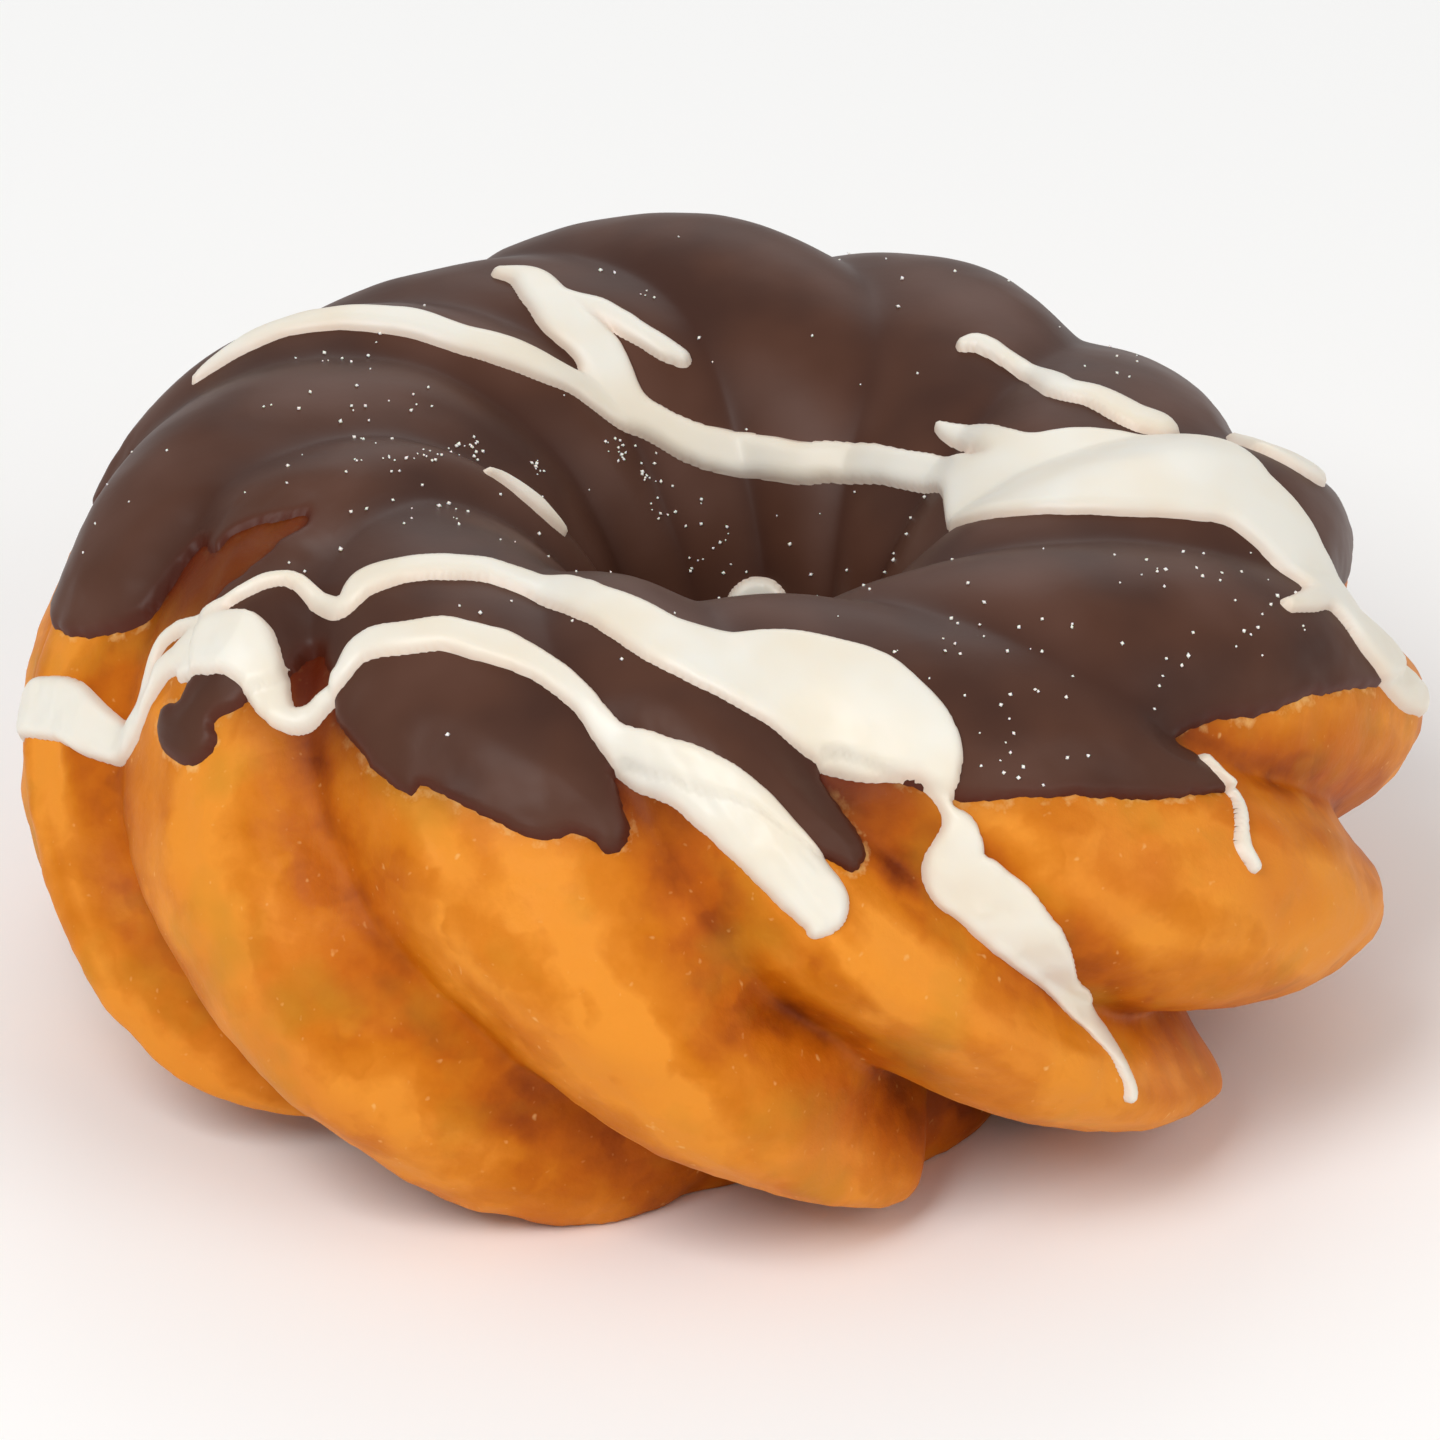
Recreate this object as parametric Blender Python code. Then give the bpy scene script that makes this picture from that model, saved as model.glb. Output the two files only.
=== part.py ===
"""A twisted ring of choux dough, its top dipped in chocolate icing and drizzled with white icing.

The ring's surface is a function of two numbers. The lobe runs from 0 to LOBES round the ring: a whole
number is the crest of a ridge, a half is the bottom of the groove after it. The angle runs round the
tube in degrees: 0 faces out, 90 up, 180 the hole and -90 down. A ridge keeps its lobe number while it
winds round the tube.
"""

import bmesh
import bpy
import numpy as np

# Driving dimensions, in metres and degrees
MM = 0.001
LOBES = 12
LOBES_PASSED = 5            # ridges that one turn round the tube passes, which is the ring's twist
START_ANGLE = -2.7          # place of the first ridge's outer side, from +X towards +Y
RING_RADIUS = 0.0275        # of the tube's middle
RING_X = -0.0007            # of the ring's own middle, which leaves the uneven whole centred on the origin
TUBE_HALF_WIDTH = 0.0189
UPPER_HEIGHT = 0.0234       # from the tube's middle up to the crests
LOWER_HEIGHT = 0.0166       # and down to them
UPPER_POWER = 2.1           # 2 is an ellipse, more is squarer
LOWER_POWER = 2.3
REST_CUT = 0.0006           # depth of the flat that the board leaves on each ridge
CREST_POWER = 0.8           # under 1 makes the ridges fuller and the grooves sharper

ICING_GAP = 0.0003          # between dough and icing
ICING_THICKNESS = 0.0009
ICING_EDGE_THICKNESS = 0.0006
ICING_FILL = 0.45           # share of a groove's depth that the icing levels out
HOLE_EDGE = 205             # angle at which the icing ends in the hole
HOLE_EDGE_WAVE = 6          # degrees that it runs further down on each crest, and less far in each groove

DRIZZLE_HEIGHT = 0.0010     # over the icing
DRIZZLE_DEPTH = 0.0006      # of its underside over the dough, inside the icing where there is any
DRIZZLE_STEP = 0.0026       # between two sections of a strand
FEWEST_SECTIONS = 4
CURVE_STEPS = 24            # of the smooth curve between two points of a strand's route
NARROW_WIDTH = 4            # millimetres: a wider strand has WIDE_POINTS across it and not NARROW_POINTS
NARROW_POINTS = 4
WIDE_POINTS = 8
EDGE_RISE = 0.15            # share of its height that a strand has at its sides
STRAND_END = 0.4            # share of its width that it has at its ends

COLUMNS_PER_LOBE = 6
ROWS_BELOW = 11             # rows of faces from the bottom up to the icing's edge
ROWS_ICED = 12
ROWS_HOLE = 5               # from the icing's edge in the hole down to the bottom

LEVEL = (0,) * LOBES

# Degrees that each groove lies off an even spacing, at the angle that begins the row.
# The grooves follow ridges 0 to 11 in order.
GROOVE_SHIFT = (
    (-90, LEVEL),
    (-75, (4, 0, 0, 0, 0, 0, 0, -8, -9, -13, 0, 5)),
    (-50, (6, 0, 0, 0, 0, 0, 0, -12, -8, -8, 1, 10)),
    (10, (10, 0, 0, 0, 0, 0, 0, -10, -3, 0, -7, 5)),
    (60, (-1, 0, 1, 6, 12, 6, -2, -1, -2, 4, -6, -3)),
    (110, (-3, 0, 0, 1, 6, 4, -2, -3, -6, 0, 0, -3)),
    (175, LEVEL),
    (270, LEVEL),
)

# Degrees that each crest lies off the middle between its two grooves
RIDGE_LEAN = (
    (-90, LEVEL),
    (-50, (0, 0, 0, 0, 0, 0, 0, 0, 0, 6, 12, 3)),
    (-15, (0, 0, 0, 0, 0, 0, 0, 0, 0, 2, 4, 5)),
    (25, LEVEL),
    (270, LEVEL),
)

# Millimetres that each ridge stands out past an even one
RIDGE_SWELL = (
    (-90, LEVEL),
    (-65, (-2.5, -2, -1, -1, -1, -1, -1, -2, 0.9, -0.6, -1.2, -4)),
    (-32, (-1, -0.5, -0.3, -0.3, -0.3, -0.3, -0.5, 0.1, -0.3, -0.8, 0.1, -1.8)),
    (-15, (-0.9, 0, 0, 0, 0, 0, -0.2, 0.9, 0.6, -0.3, 0.5, 0.4)),
    (0, (0.3, 0, 0, 0, 0, 0, 0, 1.2, 0.6, -0.1, 0.4, 2.2)),
    (15, (1.4, 0, 0, 0, 0, 0, 0.2, 1.6, 0.5, 0, 0.3, 2.1)),
    (65, (0.8, 0.6, -1.6, 0, 1.6, 0.2, 1.2, 1.4, 0.5, 0, 0, 0)),
    (115, (0, 0, 0, 0, 0.7, 0.2, 1, 1, 2.5, 1.5, 1.5, 0.5)),
    (150, (0, 0, 0, 0, 0, 0, 0, 1, 3.5, 2.5, 1.5, 0.5)),
    (205, LEVEL),
    (270, LEVEL),
)

# Share of the tube's radius that every groove is deep, and what each one has more than that
GROOVE_DEPTH = (
    (-90, 0.22), (-60, 0.38), (-30, 0.34), (0, 0.24), (30, 0.15), (60, 0.09), (90, 0.08),
    (110, 0.07), (135, 0.05), (180, 0.05), (225, 0.10), (270, 0.22),
)
GROOVE_EXTRA = (
    (-90, LEVEL),
    (-45, (0, 0, 0, 0, 0, 0, 0, 0, 0.06, 0.16, 0.06, 0)),
    (0, (0, 0, 0, 0, 0, 0, 0, 0, 0.04, 0.09, 0, 0.04)),
    (50, (0, 0.06, 0.04, 0.03, 0, 0, 0, 0, 0, 0, 0, 0)),
    (65, (0.03, 0.04, 0.07, 0.08, 0, 0, 0, 0, 0, 0, 0, 0)),
    (110, LEVEL),
    (270, LEVEL),
)

# How round the bottom of a groove is: 0 is a crease
GROOVE_SOFTNESS = ((-90, 0.3), (-30, 0.35), (30, 0.25), (75, 0.15), (120, 0.22), (180, 0.3), (270, 0.3))

# Millimetres that the iced dough lies lower, so that the icing's face carries the form on
ICED_SINK = ((-90, 0), (5, 0), (50, 1), (160, 1), (215, 0), (270, 0))

# The icing's outer edge: the (lobe, angle) of each tongue's tip and of each bare groove's top, in turn
ICING_EDGE = (
    (0.05, 30), (0.5, 42), (1.1, 36), (1.5, 56), (2.1, 40), (2.55, 60), (3.1, 38), (3.5, 55),
    (4.05, 42), (4.6, 62), (5.1, 37), (5.55, 58), (6.1, 40), (6.5, 52), (7.05, 39), (7.72, 76),
    (8.0, 42), (8.52, 70), (9.15, 47), (9.52, 64), (10.2, 43), (10.56, 63), (10.85, 50), (11.32, 37),
    (11.55, 52),
)

# Each strand of drizzle: the (lobe, angle, width in millimetres) of the points on its middle line
DRIZZLE = (
    # the long strand over the back, and the pool that it ends in
    ((6.33, 65, 0.5), (6.29, 67.5, 1.0), (6.22, 71, 1.6), (6.16, 76, 2.1), (6.14, 83, 2.5), (6.13, 92, 2.6),
     (6.12, 103, 2.4), (5.87, 112, 2.8), (5.42, 122.5, 2.5), (4.98, 129.5, 2.7), (4.5, 131.5, 2.9),
     (4, 132, 2.8), (3.5, 129, 2.9), (2.9, 126, 2.7), (2.45, 122, 3.0), (1.95, 118, 3.2)),
    ((1.92, 118, 3.6), (1.67, 115, 6.5), (1.43, 110, 10.0), (1.28, 103, 12.3), (1.19, 95, 13.8),
     (1.13, 88, 13.6), (1.05, 81, 12.0), (0.92, 74.5, 8.6), (0.83, 70, 7.0)),
    # the run from the pool down the right side, and the small hook beside it
    ((0.84, 71, 6.8), (0.72, 64, 6.8), (0.57, 57, 5.8), (0.44, 50, 4.5), (0.29, 45.5, 3.8), (0.17, 40, 4.0),
     (0.07, 33, 4.2), (0, 26, 3.8), (-0.04, 19, 2.2)),
    ((0.22, 56, 1.2), (0.3, 53, 1.8), (0.45, 50, 2.2)),
    # the branches on the left and on the right
    ((5.06, 86, 1.0), (5.04, 90, 2.5), (5.18, 97, 3.2), (5.28, 104, 3.4), (5.29, 111, 3.4), (5.4, 121, 3.0)),
    ((5.1, 99, 1.6), (5, 103, 1.9), (4.93, 108, 1.9), (4.82, 112, 1.8), (4.72, 114, 1.3)),
    ((2.72, 116, 0.9), (2.62, 115.5, 1.5), (2.42, 113.5, 2.1), (2.06, 111, 2.7), (1.76, 108, 3.2)),
    ((2.91, 101, 1.0), (2.83, 99, 1.5), (2.67, 98, 1.6), (2.47, 96.5, 1.9), (2.14, 96, 2.4), (1.95, 92, 2.6),
     (1.72, 87, 3.0), (1.62, 83, 3.0)),
    ((1.5, 66, 1.2), (1.28, 66, 2.0), (1.2, 64, 2.8), (1.15, 60.5, 3.0), (1.11, 57, 2.4), (1.09, 54.5, 1.2)),
    # the line down into the hole on the left, and the drop on the hole's far side
    ((8, 119.5, 0.7), (7.97, 123, 1.2), (8.02, 128.5, 1.3), (8.08, 132, 0.9), (8.1, 136, 0.4)),
    ((4.9, 158, 1.4), (4.6, 160, 4.4), (4.22, 160.5, 2.4)),
    # the upper strand over the front, from the left side
    ((6.6, 17, 3.0), (6.9, 23, 3.6), (7.12, 28, 4.4), (7.26, 31, 4.6), (7.4, 32, 3.9), (7.53, 34, 3.1),
     (7.64, 39, 2.0)),
    ((7.6, 37, 2.2), (7.67, 43, 1.7), (7.71, 53, 1.5), (7.8, 58, 1.2), (7.95, 62, 0.9), (8.1, 68, 0.9),
     (8.25, 74, 1.3), (8.4, 77, 1.4), (8.55, 77, 1.4), (8.66, 78, 1.8), (8.74, 83, 2.8), (8.88, 88, 2.8),
     (9.06, 93, 2.7), (9.25, 97, 2.9), (9.5, 99.5, 3.2), (9.7, 97, 3.0)),
    # its pool, and the run from there down the front groove
    ((9.6, 99, 3.0), (9.85, 93, 3.5), (10.1, 87, 4.6), (10.34, 84, 6.4), (10.5, 82, 7.4), (10.64, 78, 8.0),
     (10.74, 73, 8.6), (10.8, 68, 7.4), (10.84, 62, 4.2), (10.8, 57, 2.0)),
    ((10.79, 58, 2.0), (10.73, 52, 1.0), (10.7, 48, 2.3), (10.64, 44, 3.4), (10.58, 40, 4.2),
     (10.58, 35, 4.6), (10.58, 30, 4.6), (10.565, 25, 4.0), (10.55, 20, 2.8)),
    ((10.56, 22, 3.4), (10.52, 12, 2.5), (10.46, 3, 2.3), (10.35, -5, 1.8), (10.2, -10, 1.4),
     (10.08, -14, 1.1)),
    # the lower strand: its blot on the left, its line, and its wide end on the front ridge
    ((7.7, 42, 0.9), (7.75, 47, 1.2), (7.8, 51.5, 1.5), (7.88, 55, 1.7), (7.96, 58, 2.2), (8.05, 60, 3.4)),
    ((7.93, 53, 0.9), (8.01, 57, 2.6), (8.1, 60.5, 4.6), (8.2, 62.5, 4.8), (8.3, 61.5, 3.4),
     (8.34, 58.5, 2.0)),
    ((8.32, 59, 1.9), (8.39, 57, 1.8), (8.47, 58.5, 1.8), (8.58, 63, 1.6), (8.67, 67, 1.7), (8.76, 72, 2.4),
     (8.92, 75.5, 2.6), (9.1, 79, 2.8), (9.3, 80, 3.0), (9.44, 78, 2.3), (9.52, 73.5, 1.7), (9.56, 68, 2.0),
     (9.63, 64.5, 2.8)),
    ((9.6, 66, 2.0), (9.7, 63, 3.2), (9.82, 59, 4.2), (9.91, 54, 4.6), (9.95, 48, 4.5), (9.97, 42, 4.4),
     (9.97, 38, 4.0), (9.92, 35, 2.6), (9.84, 32.5, 1.0)),
    # the short line on the right
    ((11.43, 45, 0.7), (11.36, 41, 0.8), (11.29, 36, 0.9), (11.17, 31, 1.1), (11.1, 27.5, 1.35),
     (11.06, 24, 1.2)),
)

SHARP_ANGLE = 50            # between two faces: a wider one is drawn as an edge

# The three finishes: colour and roughness
DOUGH = ((0.70, 0.30, 0.055, 1), 0.5)
CHOCOLATE = ((0.085, 0.042, 0.034, 1), 0.4)
WHITE = ((0.85, 0.82, 0.73, 1), 0.45)


def wrapped(angle):
    """The angle in -90 to 270."""
    return (angle + 90) % 360 - 90


def eased_row(position, table):
    """Row of the table that each position falls in, and how far along to the next row, eased at both ends."""
    places = np.array([row[0] for row in table], float)
    row = np.clip(np.searchsorted(places, position, side="right") - 1, 0, len(places) - 2)
    share = (position - places[row]) / (places[row + 1] - places[row])
    return row, share * share * (3 - 2 * share)


def eased(position, table):
    """Value of a table of (place, value) rows at each position."""
    row, share = eased_row(position, table)
    values = np.array([entry[1] for entry in table], float)
    return values[row] * (1 - share) + values[row + 1] * share


def by_lobe(lobe, angle, table):
    """Value of a table of (angle, one value for each lobe) rows, eased along both."""
    row, share = eased_row(wrapped(angle), table)
    values = np.array([entry[1] for entry in table], float)
    first = np.floor(lobe).astype(int)
    along = lobe - first
    along = along * along * (3 - 2 * along)
    here, there = first % LOBES, (first + 1) % LOBES
    upper = values[row, here] * (1 - along) + values[row, there] * along
    lower = values[row + 1, here] * (1 - along) + values[row + 1, there] * along
    return upper * (1 - share) + lower * share


def turn_of(lobe, angle):
    """Place round the ring, in radians: it goes back as the ridge winds round the tube."""
    even = START_ANGLE + 360 / LOBES * (lobe - LOBES_PASSED * angle / 360)
    lean = by_lobe(lobe, angle, RIDGE_LEAN) * np.cos(np.pi * lobe) ** 2
    return np.radians(even + by_lobe(lobe - 0.5, angle, GROOVE_SHIFT) + lean)


def crest_radius(lobe, angle):
    """Distance of the crests from the tube's middle: a squarish ellipse, with each ridge's swelling."""
    across = np.abs(np.cos(np.radians(angle))) / TUBE_HALF_WIDTH
    up = np.sin(np.radians(angle))
    tall = np.abs(up) / np.where(up > 0, UPPER_HEIGHT, LOWER_HEIGHT)
    power = np.where(up > 0, UPPER_POWER, LOWER_POWER)
    swell = by_lobe(lobe, angle, RIDGE_SWELL) - eased(wrapped(angle), ICED_SINK)
    return (across**power + tall**power) ** (-1 / power) + swell * MM


def groove_share(lobe, angle, softness):
    """0 on a crest and 1 at the bottom of a groove, whose bottom the softness rounds."""
    wave = np.abs(np.cos(np.pi * lobe))
    ridge = (np.sqrt(wave**2 + softness**2) - softness) / (np.sqrt(1 + softness**2) - softness)
    return 1 - ridge**CREST_POWER


def groove_depth(lobe, angle):
    """Share of the tube's radius that the groove nearest this lobe number is deep."""
    return eased(wrapped(angle), GROOVE_DEPTH) + by_lobe(lobe - 0.5, angle, GROOVE_EXTRA)


def dough_radius(lobe, angle):
    """Distance of the dough's face from the tube's middle."""
    share = groove_share(lobe, angle, eased(wrapped(angle), GROOVE_SOFTNESS))
    return crest_radius(lobe, angle) * (1 - groove_depth(lobe, angle) * share)


def icing_radius(lobe, angle, thickness):
    """Distance of the icing's outer face: the dough's with shallower grooves, and the thickness more."""
    softness = eased(wrapped(angle), GROOVE_SOFTNESS) + ICING_FILL / 2
    depth = groove_depth(lobe, angle) * (1 - ICING_FILL)
    levelled = crest_radius(lobe, angle) * (1 - depth * groove_share(lobe, angle, softness))
    return np.maximum(levelled, dough_radius(lobe, angle)) + ICING_GAP + thickness


def place(lobe, angle, radius):
    """Point at this distance from the tube's middle. What would be under 0 is flat on the board."""
    turn, tilt = turn_of(lobe, angle), np.radians(angle)
    out = RING_RADIUS + radius * np.cos(tilt)
    up = np.maximum(LOWER_HEIGHT - REST_CUT + radius * np.sin(tilt), 0)
    return np.stack((RING_X + out * np.cos(turn), out * np.sin(turn), up), axis=-1)


def outer_edge(lobe):
    """Angle of the icing's edge on the ring's outer side."""
    last, first = ICING_EDGE[-1], ICING_EDGE[0]
    closed = ((last[0] - LOBES, last[1]), *ICING_EDGE, (first[0] + LOBES, first[1]))
    return eased(lobe % LOBES, closed)


def hole_edge(lobe):
    """Angle of the icing's edge in the hole."""
    return HOLE_EDGE + HOLE_EDGE_WAVE * np.cos(2 * np.pi * lobe)


def row_stops(lobe):
    """Angles of the bottom, the icing's two edges and the bottom again, for each lobe number."""
    bottom = np.full_like(lobe, -90)
    return np.stack((bottom, outer_edge(lobe), hole_edge(lobe), bottom + 360), axis=-1)


class Ring:
    """The points of the dough and of the icing's two faces, as (column, row) grids with shared places."""

    def __init__(self):
        columns = LOBES * COLUMNS_PER_LOBE
        self.places = np.cumsum((0, ROWS_BELOW, ROWS_ICED, ROWS_HOLE))
        lobe = np.arange(columns) / COLUMNS_PER_LOBE
        self.stops = row_stops(lobe)
        rows = np.arange(self.places[-1] + 1)
        angle = np.stack([np.interp(rows, self.places, stops) for stops in self.stops])
        lobe = np.broadcast_to(lobe[:, None], angle.shape)
        dough = dough_radius(lobe, angle)
        thickness = np.full(angle.shape, ICING_THICKNESS)
        thickness[:, self.places[1:3]] = ICING_EDGE_THICKNESS
        icing = icing_radius(lobe, angle, thickness)
        iced = (rows >= self.places[1]) & (rows <= self.places[2])
        self.iced = np.flatnonzero(iced)
        self.dough = place(lobe, angle, dough)
        self.icing_inside = place(lobe, angle, dough + ICING_GAP)
        self.cover = place(lobe, angle, np.where(iced, icing, dough + 2 * ICING_GAP))

    def on_facets(self, grid, lobe, angle):
        """Points of a grid's flat triangles at these places, for what lies on the real faces."""
        column = lobe * COLUMNS_PER_LOBE
        first = np.floor(column).astype(int)
        across = column - first
        here, there = first % len(grid), (first + 1) % len(grid)
        stops = self.stops[here] * (1 - across[..., None]) + self.stops[there] * across[..., None]
        pairs = zip(wrapped(angle).ravel(), stops.reshape(-1, len(self.places)))
        row = np.reshape([np.interp(value, stop, self.places) for value, stop in pairs], angle.shape)
        low = np.minimum(np.floor(row).astype(int), self.places[-1] - 1)
        up, across = (row - low)[..., None], across[..., None]
        a, b, c, d = grid[here, low], grid[there, low], grid[there, low + 1], grid[here, low + 1]
        under = a + across * (b - a) + up * (c - b)
        over = a + up * (d - a) + across * (c - d)
        return np.where(up <= across, under, over)


def grid_faces(number):
    """Triangles of a (column, row) grid of point numbers whose last column joins the first.

    Each square is split from its first corner to the opposite one, as Ring.on_facets reads it.
    """
    near, far = number, np.roll(number, -1, axis=0)
    a, b, c, d = near[:, :-1], far[:, :-1], far[:, 1:], near[:, 1:]
    return np.stack((a, b, c, a, c, d), axis=-1).reshape(-1, 3)


def dough_solid(ring):
    """The whole tube. Its last row of points is its first, LOBES_PASSED ridges on."""
    points = ring.dough[:, :-1]
    number = np.arange(points[..., 0].size).reshape(points.shape[:2])
    last = np.roll(number[:, :1], LOBES_PASSED * COLUMNS_PER_LOBE, axis=0)
    return points.reshape(-1, 3), grid_faces(np.hstack((number, last)))


def icing_solid(ring):
    """The icing's outer face, its inner face turned round, and the two rims between them."""
    outside, inside = ring.cover[:, ring.iced], ring.icing_inside[:, ring.iced]
    outer = np.arange(outside[..., 0].size).reshape(outside.shape[:2])
    inner = outer + outer.size
    low_rim = np.stack((inner[:, 0], outer[:, 0]), axis=1)
    hole_rim = np.stack((outer[:, -1], inner[:, -1]), axis=1)
    faces = (grid_faces(outer), grid_faces(inner)[:, ::-1], grid_faces(low_rim), grid_faces(hole_rim))
    return np.concatenate((outside, inside)).reshape(-1, 3), np.concatenate(faces)


def smooth_route(route):
    """Points of a smooth curve through the route, DRIZZLE_STEP apart: (lobe, angle, width) rows."""
    points = np.array(route, float)
    before = np.vstack((2 * points[0] - points[1], points[:-1]))
    after = np.vstack((points[1:], 2 * points[-1] - points[-2]))
    slope = (after - before) / 2
    t = np.linspace(0, 1, CURVE_STEPS, endpoint=False)[:, None]
    pieces = []
    for start, end, leave, arrive in zip(points[:-1], points[1:], slope[:-1], slope[1:]):
        pieces.append((2 * t**3 - 3 * t**2 + 1) * start + (t**3 - 2 * t**2 + t) * leave
                      + (3 * t**2 - 2 * t**3) * end + (t**3 - t**2) * arrive)
    fine = np.vstack((*pieces, points[-1:]))
    way = place(fine[:, 0], fine[:, 1], crest_radius(fine[:, 0], fine[:, 1]))
    gone = np.concatenate(([0], np.cumsum(np.linalg.norm(np.diff(way, axis=0), axis=1))))
    sections = max(FEWEST_SECTIONS, round(gone[-1] / DRIZZLE_STEP) + 1)
    stops = np.linspace(0, gone[-1], sections)
    return np.stack([np.interp(stops, gone, column) for column in fine.T], axis=-1)


def sideways(lobe, angle):
    """How lobe and angle change over a metre square to the line's way, along the crests' smooth surface."""
    reach = 0.01
    start = place(lobe, angle, crest_radius(lobe, angle))
    by_ridge = (place(lobe + reach, angle, crest_radius(lobe, angle)) - start) / reach
    by_angle = (place(lobe, angle + reach, crest_radius(lobe, angle)) - start) / reach
    ahead, rise = np.gradient(lobe), np.gradient(angle)
    ridges, both, angles = (by_ridge**2).sum(1), (by_ridge * by_angle).sum(1), (by_angle**2).sum(1)
    side = np.stack((-both * ahead - angles * rise, ridges * ahead + both * rise))
    length = np.linalg.norm(side[0, :, None] * by_ridge + side[1, :, None] * by_angle, axis=1)
    return side / length


def strand_solid(ring, route):
    """One strand of drizzle: a low rounded strip that starts inside the icing, or just over bare dough."""
    lobe, angle, width = smooth_route(route).T
    count = NARROW_POINTS if width.max() < NARROW_WIDTH else WIDE_POINTS
    across = np.linspace(-1, 1, count)[:, None]
    rise = EDGE_RISE + (1 - EDGE_RISE) * (1 - across**4)
    width[[0, -1]] *= STRAND_END
    offset = across * width / 2 * MM
    side = sideways(lobe, angle)
    lobe, angle = lobe + offset * side[0], angle + offset * side[1]
    turn, tilt = turn_of(lobe, angle), np.radians(angle)
    outward = np.stack((np.cos(tilt) * np.cos(turn), np.cos(tilt) * np.sin(turn), np.sin(tilt)), axis=-1)
    top = ring.on_facets(ring.cover, lobe, angle) + outward * rise[..., None] * DRIZZLE_HEIGHT
    bottom = ring.on_facets(ring.dough, lobe, angle) + outward * DRIZZLE_DEPTH
    points = np.concatenate((top, bottom[::-1]))
    number = np.arange(points[..., 0].size).reshape(points.shape[:2])
    ends = []
    for station, turned in ((0, slice(None)), (-1, slice(None, None, -1))):
        pairs = np.stack((number[:count, station], number[count:, station][::-1]), axis=1)
        ends.append(grid_faces(pairs)[:-2, turned])
    return points.reshape(-1, 3), np.concatenate((grid_faces(number)[:, ::-1], *ends))


def clear_scene():
    """Removes every object."""
    for thing in list(bpy.data.objects):
        bpy.data.objects.remove(thing, do_unlink=True)


def finish(name, colour, roughness):
    """A material of one colour."""
    material = bpy.data.materials.new(name)
    material.use_nodes = True
    shader = material.node_tree.nodes["Principled BSDF"]
    shader.inputs["Base Color"].default_value = colour
    shader.inputs["Roughness"].default_value = roughness
    shader.inputs["Metallic"].default_value = 0
    return material


def solid_object(name, solid, materials, collection):
    """An object with this solid's mesh, smooth but for its real edges, all in the last of the materials."""
    points, faces = solid
    mesh = bpy.data.meshes.new(name)
    mesh.from_pydata(points.tolist(), [], faces.tolist())
    work = bmesh.new()
    work.from_mesh(mesh)
    bmesh.ops.recalc_face_normals(work, faces=work.faces)
    work.to_mesh(mesh)
    work.free()
    mesh.shade_smooth()
    mesh.set_sharp_from_angle(angle=np.radians(SHARP_ANGLE))
    for material in materials:
        mesh.materials.append(material)
    mesh.polygons.foreach_set("material_index", [len(materials) - 1] * len(mesh.polygons))
    thing = bpy.data.objects.new(name, mesh)
    collection.objects.link(thing)
    return thing


def join_strands(icing, ring, materials):
    """Fuses every strand of drizzle to the icing."""
    strands = bpy.data.collections.new("drizzle_strands")
    bpy.context.scene.collection.children.link(strands)
    for number, route in enumerate(DRIZZLE):
        solid_object(f"strand_{number}", strand_solid(ring, route), materials, strands)
    union = icing.modifiers.new("drizzle", "BOOLEAN")
    union.operation = "UNION"
    union.operand_type = "COLLECTION"
    union.collection = strands
    union.solver = "MANIFOLD"
    bpy.context.view_layer.objects.active = icing
    bpy.ops.object.modifier_apply(modifier=union.name)
    for strand in list(strands.objects):
        bpy.data.objects.remove(strand, do_unlink=True)
    bpy.data.collections.remove(strands)


def main():
    """Builds the ring of dough and its icing."""
    clear_scene()
    scene = bpy.context.scene.collection
    ring = Ring()
    dough = finish("fried_choux", *DOUGH)
    chocolate = finish("chocolate_icing", *CHOCOLATE)
    white = finish("white_icing", *WHITE)
    solid_object("choux_ring", dough_solid(ring), [dough], scene)
    icing = solid_object("chocolate_icing", icing_solid(ring), [chocolate], scene)
    icing.data.materials.append(white)
    join_strands(icing, ring, [chocolate, white])


if __name__ == "__main__":
    main()
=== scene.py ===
"""The looks of an iced choux ring: fried dough, a dipped coat of chocolate icing, and white drizzle.

The ring's surface is a function of two numbers. The lobe runs from 0 to 12 round the ring: a whole number
is the crest of a ridge, a half is the bottom of the groove after it. The angle runs round the tube in
degrees: 0 faces out, 90 up, 180 the hole and -90 down. A ridge keeps its lobe number while it winds round
the tube.
"""

import logging
from dataclasses import dataclass
from typing import Any, Iterator, Sequence

import bpy
import numpy as np
from mathutils import Matrix, Vector


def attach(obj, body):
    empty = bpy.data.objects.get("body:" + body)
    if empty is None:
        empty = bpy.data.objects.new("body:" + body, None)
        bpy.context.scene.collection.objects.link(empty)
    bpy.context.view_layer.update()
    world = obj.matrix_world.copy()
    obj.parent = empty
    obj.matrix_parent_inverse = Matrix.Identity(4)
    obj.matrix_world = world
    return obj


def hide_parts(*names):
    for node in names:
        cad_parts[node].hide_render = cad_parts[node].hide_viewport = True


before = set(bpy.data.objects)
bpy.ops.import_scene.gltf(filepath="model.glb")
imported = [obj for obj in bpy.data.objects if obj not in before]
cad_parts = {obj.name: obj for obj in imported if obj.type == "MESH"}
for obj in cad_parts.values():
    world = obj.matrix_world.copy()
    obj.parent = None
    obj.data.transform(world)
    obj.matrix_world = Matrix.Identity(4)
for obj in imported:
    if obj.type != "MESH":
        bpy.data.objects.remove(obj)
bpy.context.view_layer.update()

LOG = logging.getLogger("iced_choux_ring")
MM = 0.001
BODY = "root"

Array = np.ndarray
LobeTable = tuple[tuple[float, tuple[float, ...]], ...]
ValueTable = tuple[tuple[float, float], ...]
Route = tuple[tuple[float, float, float], ...]

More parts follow.
